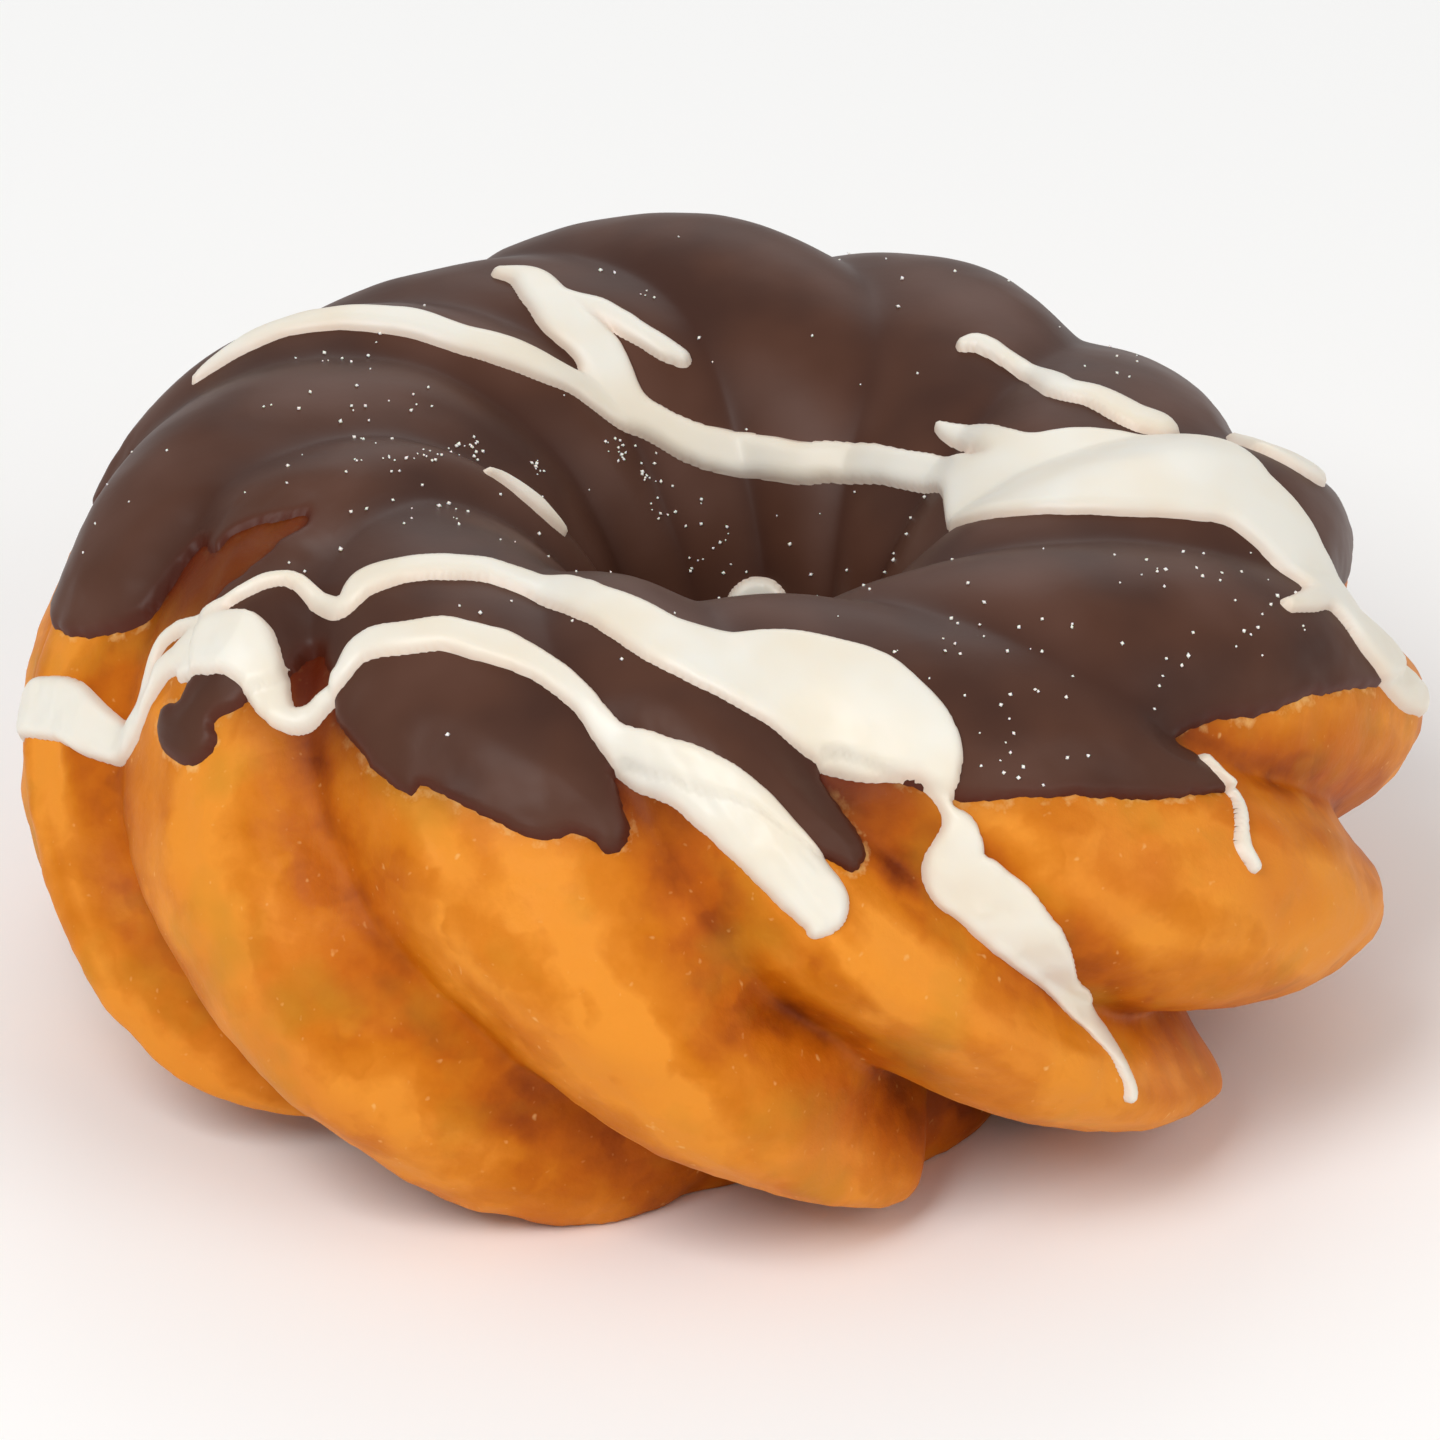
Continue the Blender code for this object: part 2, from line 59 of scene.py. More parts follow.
LEVEL = (0,) * 12
COLOUR_MIX = {"data_type": "RGBA", "blend_type": "MIX"}     # of a Mix node: its inputs are 0, 6 and 7
COLOUR_OUT = 2                                              # and this is its colour output


# ---------------------------------------------------------------------------------------------------------
# Small tools for shapes
# ---------------------------------------------------------------------------------------------------------


def wrapped(angle: Array) -> Array:
    """The angle in -90 to 270."""
    return (angle + 90) % 360 - 90


def ease(share: Array) -> Array:
    """Three squares less two cubes: 0 to 1, level at both ends."""
    share = np.clip(share, 0, 1)
    return share * share * (3 - 2 * share)


def eased_row(position: Array, table: Sequence[tuple]) -> tuple[Array, Array]:
    """Finds each position between two rows of a table.

    Args:
        position: places along the table's first column.
        table: rows whose first entry is their place.

    Returns:
        The row that each position falls in, and how far along to the next one, eased at both ends.
    """
    places = np.array([row[0] for row in table], float)
    row = np.clip(np.searchsorted(places, position, side="right") - 1, 0, len(places) - 2)
    return row, ease((position - places[row]) / (places[row + 1] - places[row]))


def eased(position: Array, table: ValueTable) -> Array:
    """Reads a table of (place, value) rows, eased between rows.

    Args:
        position: places along the table's first column.
        table: the rows.

    Returns:
        The value at each position.
    """
    row, share = eased_row(position, table)
    values = np.array([entry[1] for entry in table], float)
    return values[row] * (1 - share) + values[row + 1] * share


class LatticeNoise:
    """Smooth random values: one for each corner of a lattice that repeats, eased between the corners."""

    def __init__(self, seed: int, cells: tuple[int, int, int] = (32, 32, 32)) -> None:
        """Draws the corners' values, from -1 to 1.

        Args:
            seed: of the draw.
            cells: number of lattice cells each way before it repeats.
        """
        self.cells = np.array(cells)
        self.corners = np.random.default_rng(seed).uniform(-1, 1, cells)

    def at(self, places: Array) -> Array:
        """Sums the eight corners' values round each place, each by its eased share.

        Args:
            places: given in cells, with three numbers each.

        Returns:
            One value for each place, from -1 to 1.
        """
        first = np.floor(places).astype(int)
        share = ease(places - first)
        total = np.zeros(places.shape[:-1])
        for corner in np.ndindex(2, 2, 2):
            index = tuple(np.moveaxis((first + corner) % self.cells, -1, 0))
            weight = np.prod(np.where(corner, share, 1 - share), axis=-1)
            total += weight * self.corners[index]
        return total

    def layered(self, places: Array, layers: int) -> Array:
        """Several layers, each twice as fine and half as strong as the last."""
        return sum(self.at(places * 2**layer) / 2**layer for layer in range(layers))


def smooth_line(points: Sequence[Sequence[float]], steps: int) -> Array:
    """A smooth curve through points of any dimension.

    Between two points it is the cubic whose slope at each is half the step from the point before to the
    point after.

    Args:
        points: what the curve passes through.
        steps: samples between two points.

    Returns:
        The samples, the last point included.
    """
    given = np.array(points, float)
    before = np.vstack((2 * given[0] - given[1], given[:-1]))
    after = np.vstack((given[1:], 2 * given[-1] - given[-2]))
    slope = (after - before) / 2
    t = np.linspace(0, 1, steps, endpoint=False)[None, :, None]
    curve = ((2 * t**3 - 3 * t**2 + 1) * given[:-1, None] + (t**3 - 2 * t**2 + t) * slope[:-1, None]
             + (3 * t**2 - 2 * t**3) * given[1:, None] + (t**3 - t**2) * slope[1:, None])
    return np.vstack((curve.reshape(-1, given.shape[1]), given[-1:]))


def blocks(count: int, size: int = 4000) -> Iterator[slice]:
    """Slices that cover a long array a part at a time, to keep tables of distances small."""
    for start in range(0, count, size):
        yield slice(start, start + size)


def rounded_lip(depth: Array, width: float) -> Array:
    """A quarter circle's height, from 0 at the edge to 1 at the given width inside it."""
    return np.sqrt(1 - (1 - np.clip(depth / width, 0, 1)) ** 2)


def grid_quads(number: Array, joins: bool = True) -> Array:
    """Squares of a (column, row) grid of point numbers.

    Args:
        number: the grid.
        joins: whether the last column joins the first.

    Returns:
        Four point numbers a square, counter-clockwise seen from the side that columns x rows points to.
    """
    far = np.roll(number, -1, axis=0)
    near = number if joins else number[:-1]
    far = far if joins else far[:-1]
    return np.stack((near[:, :-1], far[:, :-1], far[:, 1:], near[:, 1:]), axis=-1).reshape(-1, 4)


def new_piece(name: str, points: Array, faces: Array, material: bpy.types.Material,
              values: dict[str, Array] | None = None) -> bpy.types.Object:
    """Makes a smooth-shaded mesh object at the origin.

    Args:
        name: the piece's name.
        points: places of its vertices, in metres.
        faces: vertex numbers, the same count for every face.
        material: its finish.
        values: further values for each vertex, by attribute name.

    Returns:
        The object.
    """
    sides = faces.shape[1]
    mesh = bpy.data.meshes.new(name)
    mesh.vertices.add(len(points))
    mesh.vertices.foreach_set("co", np.asarray(points, np.float32).ravel())
    mesh.loops.add(faces.size)
    mesh.loops.foreach_set("vertex_index", faces.astype(np.int32).ravel())
    mesh.polygons.add(len(faces))
    mesh.polygons.foreach_set("loop_start", np.arange(0, faces.size, sides, dtype=np.int32))
    for label, value in (values or {}).items():
        attribute = mesh.attributes.new(label, "FLOAT", "POINT")
        attribute.data.foreach_set("value", np.asarray(value, np.float32).ravel())
    mesh.update(calc_edges=True)
    mesh.validate()
    mesh.shade_smooth()
    mesh.materials.append(material)
    thing = bpy.data.objects.new(name, mesh)
    bpy.context.scene.collection.objects.link(thing)
    return thing


# ---------------------------------------------------------------------------------------------------------
# Small tools for materials
# ---------------------------------------------------------------------------------------------------------


def linear(colour: str, alpha: float = 1) -> tuple[float, float, float, float]:
    """Turns an sRGB hex colour to linear.

    Args:
        colour: as "#RRGGBB".
        alpha: what goes with it.

    Returns:
        Linear red, green, blue, and alpha.
    """
    parts = np.array([int(colour[i:i + 2], 16) for i in (1, 3, 5)]) / 255
    parts = np.where(parts <= 0.04045, parts / 12.92, ((parts + 0.055) / 1.055) ** 2.4)
    return (*parts.tolist(), alpha)


def add_node(tree: bpy.types.NodeTree, kind: str, settings: dict[str, Any] | None = None,
             inputs: dict[str | int, Any] | None = None,
             stops: Sequence[tuple[float, str]] = ()) -> bpy.types.Node:
    """Adds a node with its settings and links.

    Args:
        tree: where it goes.
        kind: its type, without the "ShaderNode" in front.
        settings: its properties.
        inputs: for each socket's name or number, a value or the output socket that feeds it.
        stops: of a colour ramp, each place and sRGB hex colour.

    Returns:
        The node.
    """
    node = tree.nodes.new("ShaderNode" + kind)
    for name, value in (settings or {}).items():
        setattr(node, name, value)
    for name, value in (inputs or {}).items():
        if isinstance(value, bpy.types.NodeSocket):
            tree.links.new(value, node.inputs[name])
        else:
            node.inputs[name].default_value = value
    for number, (place, colour) in enumerate(stops):
        elements = node.color_ramp.elements
        element = elements[number] if number < 2 else elements.new(place)
        element.position = place
        element.color = linear(colour)
    return node


def blank_material(name: str) -> tuple[bpy.types.Material, bpy.types.NodeTree]:
    """Makes a material without nodes.

    Args:
        name: of the material.

    Returns:
        The material, and its empty node tree.
    """
    material = bpy.data.materials.new(name)
    material.use_nodes = True
    material.node_tree.nodes.clear()
    return material, material.node_tree


# ---------------------------------------------------------------------------------------------------------
# The ring's form, as the solids have it
# ---------------------------------------------------------------------------------------------------------


@dataclass(frozen=True)
class RingForm:
    """The surface of the dough and of the icing, in the solids' own sizes.

    In each cross-section the surface is a distance from the tube's middle, so layers never cross.
    Lengths are in metres unless a name or comment says otherwise.
    """

    lobes: int = 12
    lobes_passed: int = 5                   # ridges that one turn round the tube passes
    start_angle: float = -2.7               # place of the first ridge's outer side, from +X towards +Y
    ring_radius: float = 27.5 * MM
    ring_x: float = -0.7 * MM               # of the ring's own middle
    half_width: float = 18.9 * MM
    upper_height: float = 23.4 * MM
    lower_height: float = 16.6 * MM
    upper_power: float = 2.1                # 2 is an ellipse, more is squarer
    lower_power: float = 2.3
    rest_cut: float = 0.6 * MM
    crest_power: float = 0.8                # under 1 makes the ridges fuller
    icing_gap: float = 0.3 * MM
    icing_thickness: float = 0.9 * MM
    icing_fill: float = 0.45                # share of a groove's depth that the icing levels out
    hole_edge: float = 205                  # angle at which the icing ends in the hole
    hole_edge_wave: float = 6               # degrees that it runs further down on each crest

    # Degrees that each groove lies off an even spacing, at the angle that begins the row
    groove_shift: LobeTable = (
        (-90, LEVEL),
        (-75, (4, 0, 0, 0, 0, 0, 0, -8, -9, -13, 0, 5)),
        (-50, (6, 0, 0, 0, 0, 0, 0, -12, -8, -8, 1, 10)),
        (10, (10, 0, 0, 0, 0, 0, 0, -10, -3, 0, -7, 5)),
        (60, (-1, 0, 1, 6, 12, 6, -2, -1, -2, 4, -6, -3)),
        (110, (-3, 0, 0, 1, 6, 4, -2, -3, -6, 0, 0, -3)),
        (175, LEVEL),
        (270, LEVEL),
    )
    # Degrees that each crest lies off the middle between its two grooves
    ridge_lean: LobeTable = (
        (-90, LEVEL),
        (-50, (0, 0, 0, 0, 0, 0, 0, 0, 0, 6, 12, 3)),
        (-15, (0, 0, 0, 0, 0, 0, 0, 0, 0, 2, 4, 5)),
        (25, LEVEL),
        (270, LEVEL),
    )
    # Millimetres that each ridge stands out past an even one
    ridge_swell: LobeTable = (
        (-90, LEVEL),
        (-65, (-2.5, -2, -1, -1, -1, -1, -1, -2, 0.9, -0.6, -1.2, -4)),
        (-32, (-1, -0.5, -0.3, -0.3, -0.3, -0.3, -0.5, 0.1, -0.3, -0.8, 0.1, -1.8)),
        (-15, (-0.9, 0, 0, 0, 0, 0, -0.2, 0.9, 0.6, -0.3, 0.5, 0.4)),
        (0, (0.3, 0, 0, 0, 0, 0, 0, 1.2, 0.6, -0.1, 0.4, 2.2)),
        (15, (1.4, 0, 0, 0, 0, 0, 0.2, 1.6, 0.5, 0, 0.3, 2.1)),
        (65, (0.8, 0.6, -1.6, 0, 1.6, 0.2, 1.2, 1.4, 0.5, 0, 0, 0)),
        (115, (0, 0, 0, 0, 0.7, 0.2, 1, 1, 2.5, 1.5, 1.5, 0.5)),
        (150, (0, 0, 0, 0, 0, 0, 0, 1, 3.5, 2.5, 1.5, 0.5)),
        (205, LEVEL),
        (270, LEVEL),
    )
    # Share of the tube's radius that every groove is deep, and what each one has more than that
    groove_depths: ValueTable = (
        (-90, 0.22), (-60, 0.38), (-30, 0.34), (0, 0.24), (30, 0.15), (60, 0.09), (90, 0.08),
        (110, 0.07), (135, 0.05), (180, 0.05), (225, 0.10), (270, 0.22),
    )
    groove_extra: LobeTable = (
        (-90, LEVEL),
        (-45, (0, 0, 0, 0, 0, 0, 0, 0, 0.06, 0.16, 0.06, 0)),
        (0, (0, 0, 0, 0, 0, 0, 0, 0, 0.04, 0.09, 0, 0.04)),
        (50, (0, 0.06, 0.04, 0.03, 0, 0, 0, 0, 0, 0, 0, 0)),
        (65, (0.03, 0.04, 0.07, 0.08, 0, 0, 0, 0, 0, 0, 0, 0)),
        (110, LEVEL),
        (270, LEVEL),
    )
    # How round the bottom of a groove is: 0 is a crease
    groove_softness: ValueTable = (
        (-90, 0.3), (-30, 0.35), (30, 0.25), (75, 0.15), (120, 0.22), (180, 0.3), (270, 0.3),
    )
    # Millimetres that the iced dough lies lower, so that the icing's face carries the form on
    iced_sink: ValueTable = ((-90, 0), (5, 0), (50, 1), (160, 1), (215, 0), (270, 0))

    def by_lobe(self, lobe: Array, angle: Array, table: LobeTable) -> Array:
        """Reads a table of (angle, one value for each lobe) rows, eased along both.

        Args:
            lobe: of each place.
            angle: of each place, in degrees.
            table: the rows.

        Returns:
            The value at each place.
        """
        row, share = eased_row(wrapped(angle), table)
        values = np.array([entry[1] for entry in table], float)
        first = np.floor(lobe).astype(int)
        along = ease(lobe - first)
        here, there = first % self.lobes, (first + 1) % self.lobes
        lower = values[row, here] * (1 - along) + values[row, there] * along
        upper = values[row + 1, here] * (1 - along) + values[row + 1, there] * along
        return lower * (1 - share) + upper * share

    def turn(self, lobe: Array, angle: Array) -> Array:
        """Works out the place round the ring, which goes back as a ridge winds round the tube.

        Args:
            lobe: of each place.
            angle: of each place, in degrees.

        Returns:
            Radians from +X towards +Y.
        """
        even = self.start_angle + 360 / self.lobes * (lobe - self.lobes_passed * angle / 360)
        lean = self.by_lobe(lobe, angle, self.ridge_lean) * np.cos(np.pi * lobe) ** 2
        return np.radians(even + self.by_lobe(lobe - 0.5, angle, self.groove_shift) + lean)

    def crest_radius(self, lobe: Array, angle: Array) -> Array:
        """Works out the crests' face: a squarish ellipse round the tube's middle, and each ridge's swelling.

        Args:
            lobe: of each place.
            angle: of each place, in degrees.

        Returns:
            The distances, in metres.
        """
        across = np.abs(np.cos(np.radians(angle))) / self.half_width
        up = np.sin(np.radians(angle))
        tall = np.abs(up) / np.where(up > 0, self.upper_height, self.lower_height)
        power = np.where(up > 0, self.upper_power, self.lower_power)
        swell = self.by_lobe(lobe, angle, self.ridge_swell) - eased(wrapped(angle), self.iced_sink)
        return (across**power + tall**power) ** (-1 / power) + swell * MM

    def groove_share(self, lobe: Array, softness: Array) -> Array:
        """Works out how far down a groove each place lies, from the cosine of its lobe number.

        Args:
            lobe: of each place.
            softness: how round the groove's bottom is.

        Returns:
            0 on a crest and 1 at the bottom of a groove.
        """
        wave = np.abs(np.cos(np.pi * lobe))
        ridge = (np.sqrt(wave**2 + softness**2) - softness) / (np.sqrt(1 + softness**2) - softness)
        return 1 - ridge**self.crest_power

    def groove_depth(self, lobe: Array, angle: Array) -> Array:
        """Share of the tube's radius that the groove nearest this lobe number is deep."""
        return eased(wrapped(angle), self.groove_depths) + self.by_lobe(lobe - 0.5, angle, self.groove_extra)

    def dough_radius(self, lobe: Array, angle: Array) -> Array:
        """Distance of the dough's face from the tube's middle: the crests' less the groove's depth."""
        share = self.groove_share(lobe, eased(wrapped(angle), self.groove_softness))
        return self.crest_radius(lobe, angle) * (1 - self.groove_depth(lobe, angle) * share)

    def icing_radius(self, lobe: Array, angle: Array) -> Array:
        """Works out the icing's face: the dough's with shallower grooves, and the thickness more.

        Args:
            lobe: of each place.
            angle: of each place, in degrees.

        Returns:
            Its distance from the tube's middle, in metres.
        """
        softness = eased(wrapped(angle), self.groove_softness) + self.icing_fill / 2
        depth = self.groove_depth(lobe, angle) * (1 - self.icing_fill)
        levelled = self.crest_radius(lobe, angle) * (1 - depth * self.groove_share(lobe, softness))
        return np.maximum(levelled, self.dough_radius(lobe, angle)) + self.icing_gap + self.icing_thickness

    def place(self, lobe: Array, angle: Array, radius: Array) -> Array:
        """Finds points from their distances to the tube's middle. What would be under 0 lies flat at 0.

        Args:
            lobe: of each place.
            angle: of each place, in degrees.
            radius: the distances, in metres.

        Returns:
            The points, in metres.
        """
        turn, tilt = self.turn(lobe, angle), np.radians(angle)
        out = self.ring_radius + radius * np.cos(tilt)
        up = np.maximum(self.lower_height - self.rest_cut + radius * np.sin(tilt), 0)
        return np.stack((self.ring_x + out * np.cos(turn), out * np.sin(turn), up), axis=-1)


FORM = RingForm()


# ---------------------------------------------------------------------------------------------------------
# Finishes
# ---------------------------------------------------------------------------------------------------------


@dataclass(frozen=True)
class FriedChouxFinish:
    """Choux dough fried in oil: a thin golden crust, paler on the crests and browner in the grooves, with
    painted shade darkening the grooves and the underside.

    The oil and a trace of glaze leave a soft sheen, and steam has left the crust finely pitted.
    """

    # From the palest crest to the deepest crease; the darker tans also carry painted shade in the grooves and
    # underneath
    tans: tuple[tuple[float, str], ...] = (
        (0.0, "#E58F2C"), (0.18, "#D67E1C"), (0.38, "#CA710C"), (0.6, "#B95E02"), (0.8, "#9E4900"),
        (1.0, "#702A00"),
    )
    blush: str = "#C8641E"                  # redder patches, where the crust has browned more
    olive: str = "#B4801E"                  # yellower ones, where oil has soaked in
    straw: str = "#F0BC74"                  # pale specks, painted glints of the glaze, and pale crumbs along the rim of the icing
    notch_shadow: str = "#551804"                  # painted shadow on the dough under the icing's arches and beside its edge in the notches
    roughness: float = 0.5
    patch_mm: float = 6.0                   # size of a browned patch
    dab_mm: float = 2.2                     # size of the dabs that it breaks up into
    flake_mm: float = 2.6                   # size of the crust's thin flakes, each of its own tan
    glint_speck_mm: float = 0.7                   # size of a pale speck, a painted glint of the glaze
    crumb_mm: float = 1.1                   # size of the crumbs along the icing's rim
    pit_mm: float = 0.7                     # spacing of the crust's pits
    paler: float = -0.64                    # brings an average place of the sum to the paler tans

    def material(self) -> bpy.types.Material:
        """Builds the material: one sum, painted shade in the grooves included, picks the tan, and patches,
        crumbs, painted glints and painted shadow are laid over it.

        Returns:
            The material.
        """
        material, tree = blank_material("fried_choux_crust")
        spot = add_node(tree, "TexCoord").outputs["Object"]
        own = {name: add_node(tree, "Attribute", {"attribute_name": name}).outputs["Fac"]
               for name in ("groove", "streak", "notch_shadow", "rim")}
        sizes = {                               # each noise's size in millimetres, detail and roughness
            "patch": (self.patch_mm, 2.0, 0.5), "dab": (self.dab_mm, 3.0, 0.6),
            "warp": (self.dab_mm, 2.0, 0.5), "blush": (1.9 * self.patch_mm, 2.0, 0.5),
            "olive": (1.3 * self.patch_mm, 3.0, 0.5), "glint_speck": (self.glint_speck_mm, 1.0, 0.5),
            "crumb": (self.crumb_mm, 3.0, 0.6), "pit": (self.pit_mm, 3.0, 0.6),
        }
        noise = {name: add_node(tree, "TexNoise", inputs={
            "Vector": spot, "Scale": 1 / (size * MM), "Detail": detail, "Roughness": roughness})
            for name, (size, detail, roughness) in sizes.items()}
        bent = add_node(tree, "VectorMath", {"operation": "MULTIPLY_ADD"}, {
            0: noise["warp"].outputs["Color"], 1: (self.flake_mm * MM,) * 3, 2: spot}).outputs[0]
        flakes = add_node(tree, "TexVoronoi", {"feature": "SMOOTH_F1"}, {
            "Vector": bent, "Scale": 1 / (self.flake_mm * MM), "Smoothness": 0.35}).outputs["Color"]
        depth = self.paler
        for amount, factor in (
                (noise["patch"].outputs["Fac"], 0.7), (own["groove"], 0.78), (own["streak"], 0.2),
                (noise["dab"].outputs["Fac"], 0.4), (flakes, 0.22)):
            depth = add_node(tree, "Math", {"operation": "MULTIPLY_ADD"}, {
                0: amount, 1: factor, 2: depth}).outputs[0]
        tan = add_node(tree, "ValToRGB", inputs={0: depth}, stops=self.tans).outputs["Color"]
        crumb = add_node(tree, "Math", {"operation": "MULTIPLY"}, {
            0: noise["crumb"].outputs["Fac"], 1: own["rim"]}).outputs[0]
        # Each colour covers the tan: not at all up to the low amount, and the most from the high one on
        for amount, low, high, most, colour in (
                (noise["blush"].outputs["Fac"], 0.5, 0.7, 0.4, self.blush),
                (noise["olive"].outputs["Fac"], 0.54, 0.72, 0.45, self.olive),
                # painted glints: pale specks of glaze
                (noise["glint_speck"].outputs["Fac"], 0.72, 0.84, 0.5, self.straw),
                (crumb, 0.46, 0.66, 0.6, self.straw),
                # painted shadow under the icing's arches
                (own["notch_shadow"], 0.0, 1.0, 1.0, self.notch_shadow)):
            share = add_node(tree, "MapRange", inputs={
                0: amount, 1: low, 2: high, 3: 0.0, 4: most}).outputs[0]
            tan = add_node(tree, "Mix", COLOUR_MIX, {0: share, 6: tan, 7: linear(colour)}).outputs[COLOUR_OUT]
        bump = add_node(tree, "Bump", inputs={
            "Strength": 0.45, "Distance": 0.12 * MM, "Height": noise["pit"].outputs["Fac"]}).outputs[0]
        shader = add_node(tree, "BsdfPrincipled", inputs={
            "Base Color": tan, "Roughness": self.roughness, "IOR": 1.45, "Specular IOR Level": 0.16,
            "Normal": bump, "Subsurface Weight": 0.1, "Subsurface Radius": (1.0, 0.4, 0.1),
            "Subsurface Scale": 0.8 * MM})
        add_node(tree, "OutputMaterial", inputs={"Surface": shader.outputs[0]})
        return material


@dataclass(frozen=True)
class SetChocolateFinish:
    """Chocolate icing, dipped warm and set: dark and satin, redder where it thins out at its edge."""

    body: str = "#523326"
    shade: str = "#452A20"
    bloom: str = "#5C3D31"                  # slightly greyer areas, where the sugar has set
    edge: str = "#521C0C"
    valley_shade_and_pooling: str = "#3A2018"                 # painted shade in the valleys between the ridges, with the darker brown of the thicker icing there
    roughness: float = 0.42
    cloud_mm: float = 9.0                   # size of the lighter and darker areas
    grain_mm: float = 1.1                   # size of its slight unevenness

    def material(self) -> bpy.types.Material:
        """Builds the material: clouds of browns, valleys darkened by painted shade and thicker icing, a
        red-brown edge and slight unevenness.

        Returns:
            The material.
        """
        material, tree = blank_material("set_chocolate_icing")
        spot = add_node(tree, "TexCoord").outputs["Object"]
        clouds = add_node(tree, "TexNoise", inputs={
            "Vector": spot, "Scale": 1 / (self.cloud_mm * MM), "Detail": 2.0, "Roughness": 0.5})
        brown = add_node(tree, "ValToRGB", inputs={0: clouds.outputs["Fac"]}, stops=(
            (0.3, self.shade), (0.52, self.body), (0.75, self.bloom))).outputs["Color"]
        # the valleys get painted shade and the thicker icing's browner tone, the edge its redder brown
        for name, colour in (("valley_shade_and_pooling", self.valley_shade_and_pooling), ("edge", self.edge)):
            share = add_node(tree, "Attribute", {"attribute_name": name}).outputs["Fac"]
            brown = add_node(tree, "Mix", COLOUR_MIX, {
                0: share, 6: brown, 7: linear(colour)}).outputs[COLOUR_OUT]
        grain = add_node(tree, "TexNoise", inputs={
            "Vector": spot, "Scale": 1 / (self.grain_mm * MM), "Detail": 2.0, "Roughness": 0.5})
        bump = add_node(tree, "Bump", inputs={
            "Strength": 0.12, "Distance": 0.1 * MM, "Height": grain.outputs["Fac"]}).outputs[0]
        shader = add_node(tree, "BsdfPrincipled", inputs={
            "Base Color": brown, "Roughness": self.roughness, "IOR": 1.5, "Specular IOR Level": 0.16,
            "Normal": bump})
        add_node(tree, "OutputMaterial", inputs={"Surface": shader.outputs[0]})
        return material


@dataclass(frozen=True)
class SetWhiteIcingFinish:
    """White icing, run from a spoon and set: opaque, slightly cream, satin, with light inside its edges."""

    body: str = "#EAE6DB"
    cream: str = "#E8DECB"
    thin: str = "#DFC3AE"                   # its thinnest edge, which lets what is under it through
    roughness: float = 0.4
    cloud_mm: float = 8.0

    def material(self) -> bpy.types.Material:
        """Builds the material: two near whites, a warmer edge and a soft glow inside.

        Returns:
            The material.
        """
        material, tree = blank_material("set_white_icing")
        spot = add_node(tree, "TexCoord").outputs["Object"]
        edge = add_node(tree, "Attribute", {"attribute_name": "edge"}).outputs["Fac"]
        clouds = add_node(tree, "TexNoise", inputs={
            "Vector": spot, "Scale": 1 / (self.cloud_mm * MM), "Detail": 2.0})
        white = add_node(tree, "ValToRGB", inputs={0: clouds.outputs["Fac"]}, stops=(
            (0.4, self.body), (0.65, self.cream))).outputs["Color"]
        white = add_node(tree, "Mix", COLOUR_MIX, {
            0: edge, 6: white, 7: linear(self.thin)}).outputs[COLOUR_OUT]
        shader = add_node(tree, "BsdfPrincipled", inputs={
            "Base Color": white, "Roughness": self.roughness, "IOR": 1.48,
            "Subsurface Weight": 0.25, "Subsurface Radius": (1.0, 0.8, 0.6), "Subsurface Scale": 0.6 * MM})
        add_node(tree, "OutputMaterial", inputs={"Surface": shader.outputs[0]})
        return material


@dataclass(frozen=True)
class SugarCrystalFinish:
    """Loose grains of sugar: small clear crystals, which sparkle."""

    body: str = "#FBF6EE"
    roughness: float = 0.12

    def material(self) -> bpy.types.Material:
        """Builds the material, a glossy white.

        Returns:
            The material.
        """
        material, tree = blank_material("sugar_crystal")
        shader = add_node(tree, "BsdfPrincipled", inputs={
            "Base Color": linear(self.body), "Roughness": self.roughness, "IOR": 1.54,
            "Subsurface Weight": 0.2, "Subsurface Scale": 0.2 * MM})
        add_node(tree, "OutputMaterial", inputs={"Surface": shader.outputs[0]})
        return material


@dataclass(frozen=True)
class StudioFloorFinish:
    """A sheet of matte near-white paper."""

    body: str = "#FBFBFA"

    def material(self) -> bpy.types.Material:
        """Builds the material, a matte near white.

        Returns:
            The material.
        """
        material, tree = blank_material("studio_paper")
        shader = add_node(tree, "BsdfPrincipled", inputs={
            "Base Color": linear(self.body), "Roughness": 0.9, "Specular IOR Level": 0.1})
        add_node(tree, "OutputMaterial", inputs={"Surface": shader.outputs[0]})
        return material


# ---------------------------------------------------------------------------------------------------------
# The icing's edge, which dough, icing and drizzle all refer to
# ---------------------------------------------------------------------------------------------------------


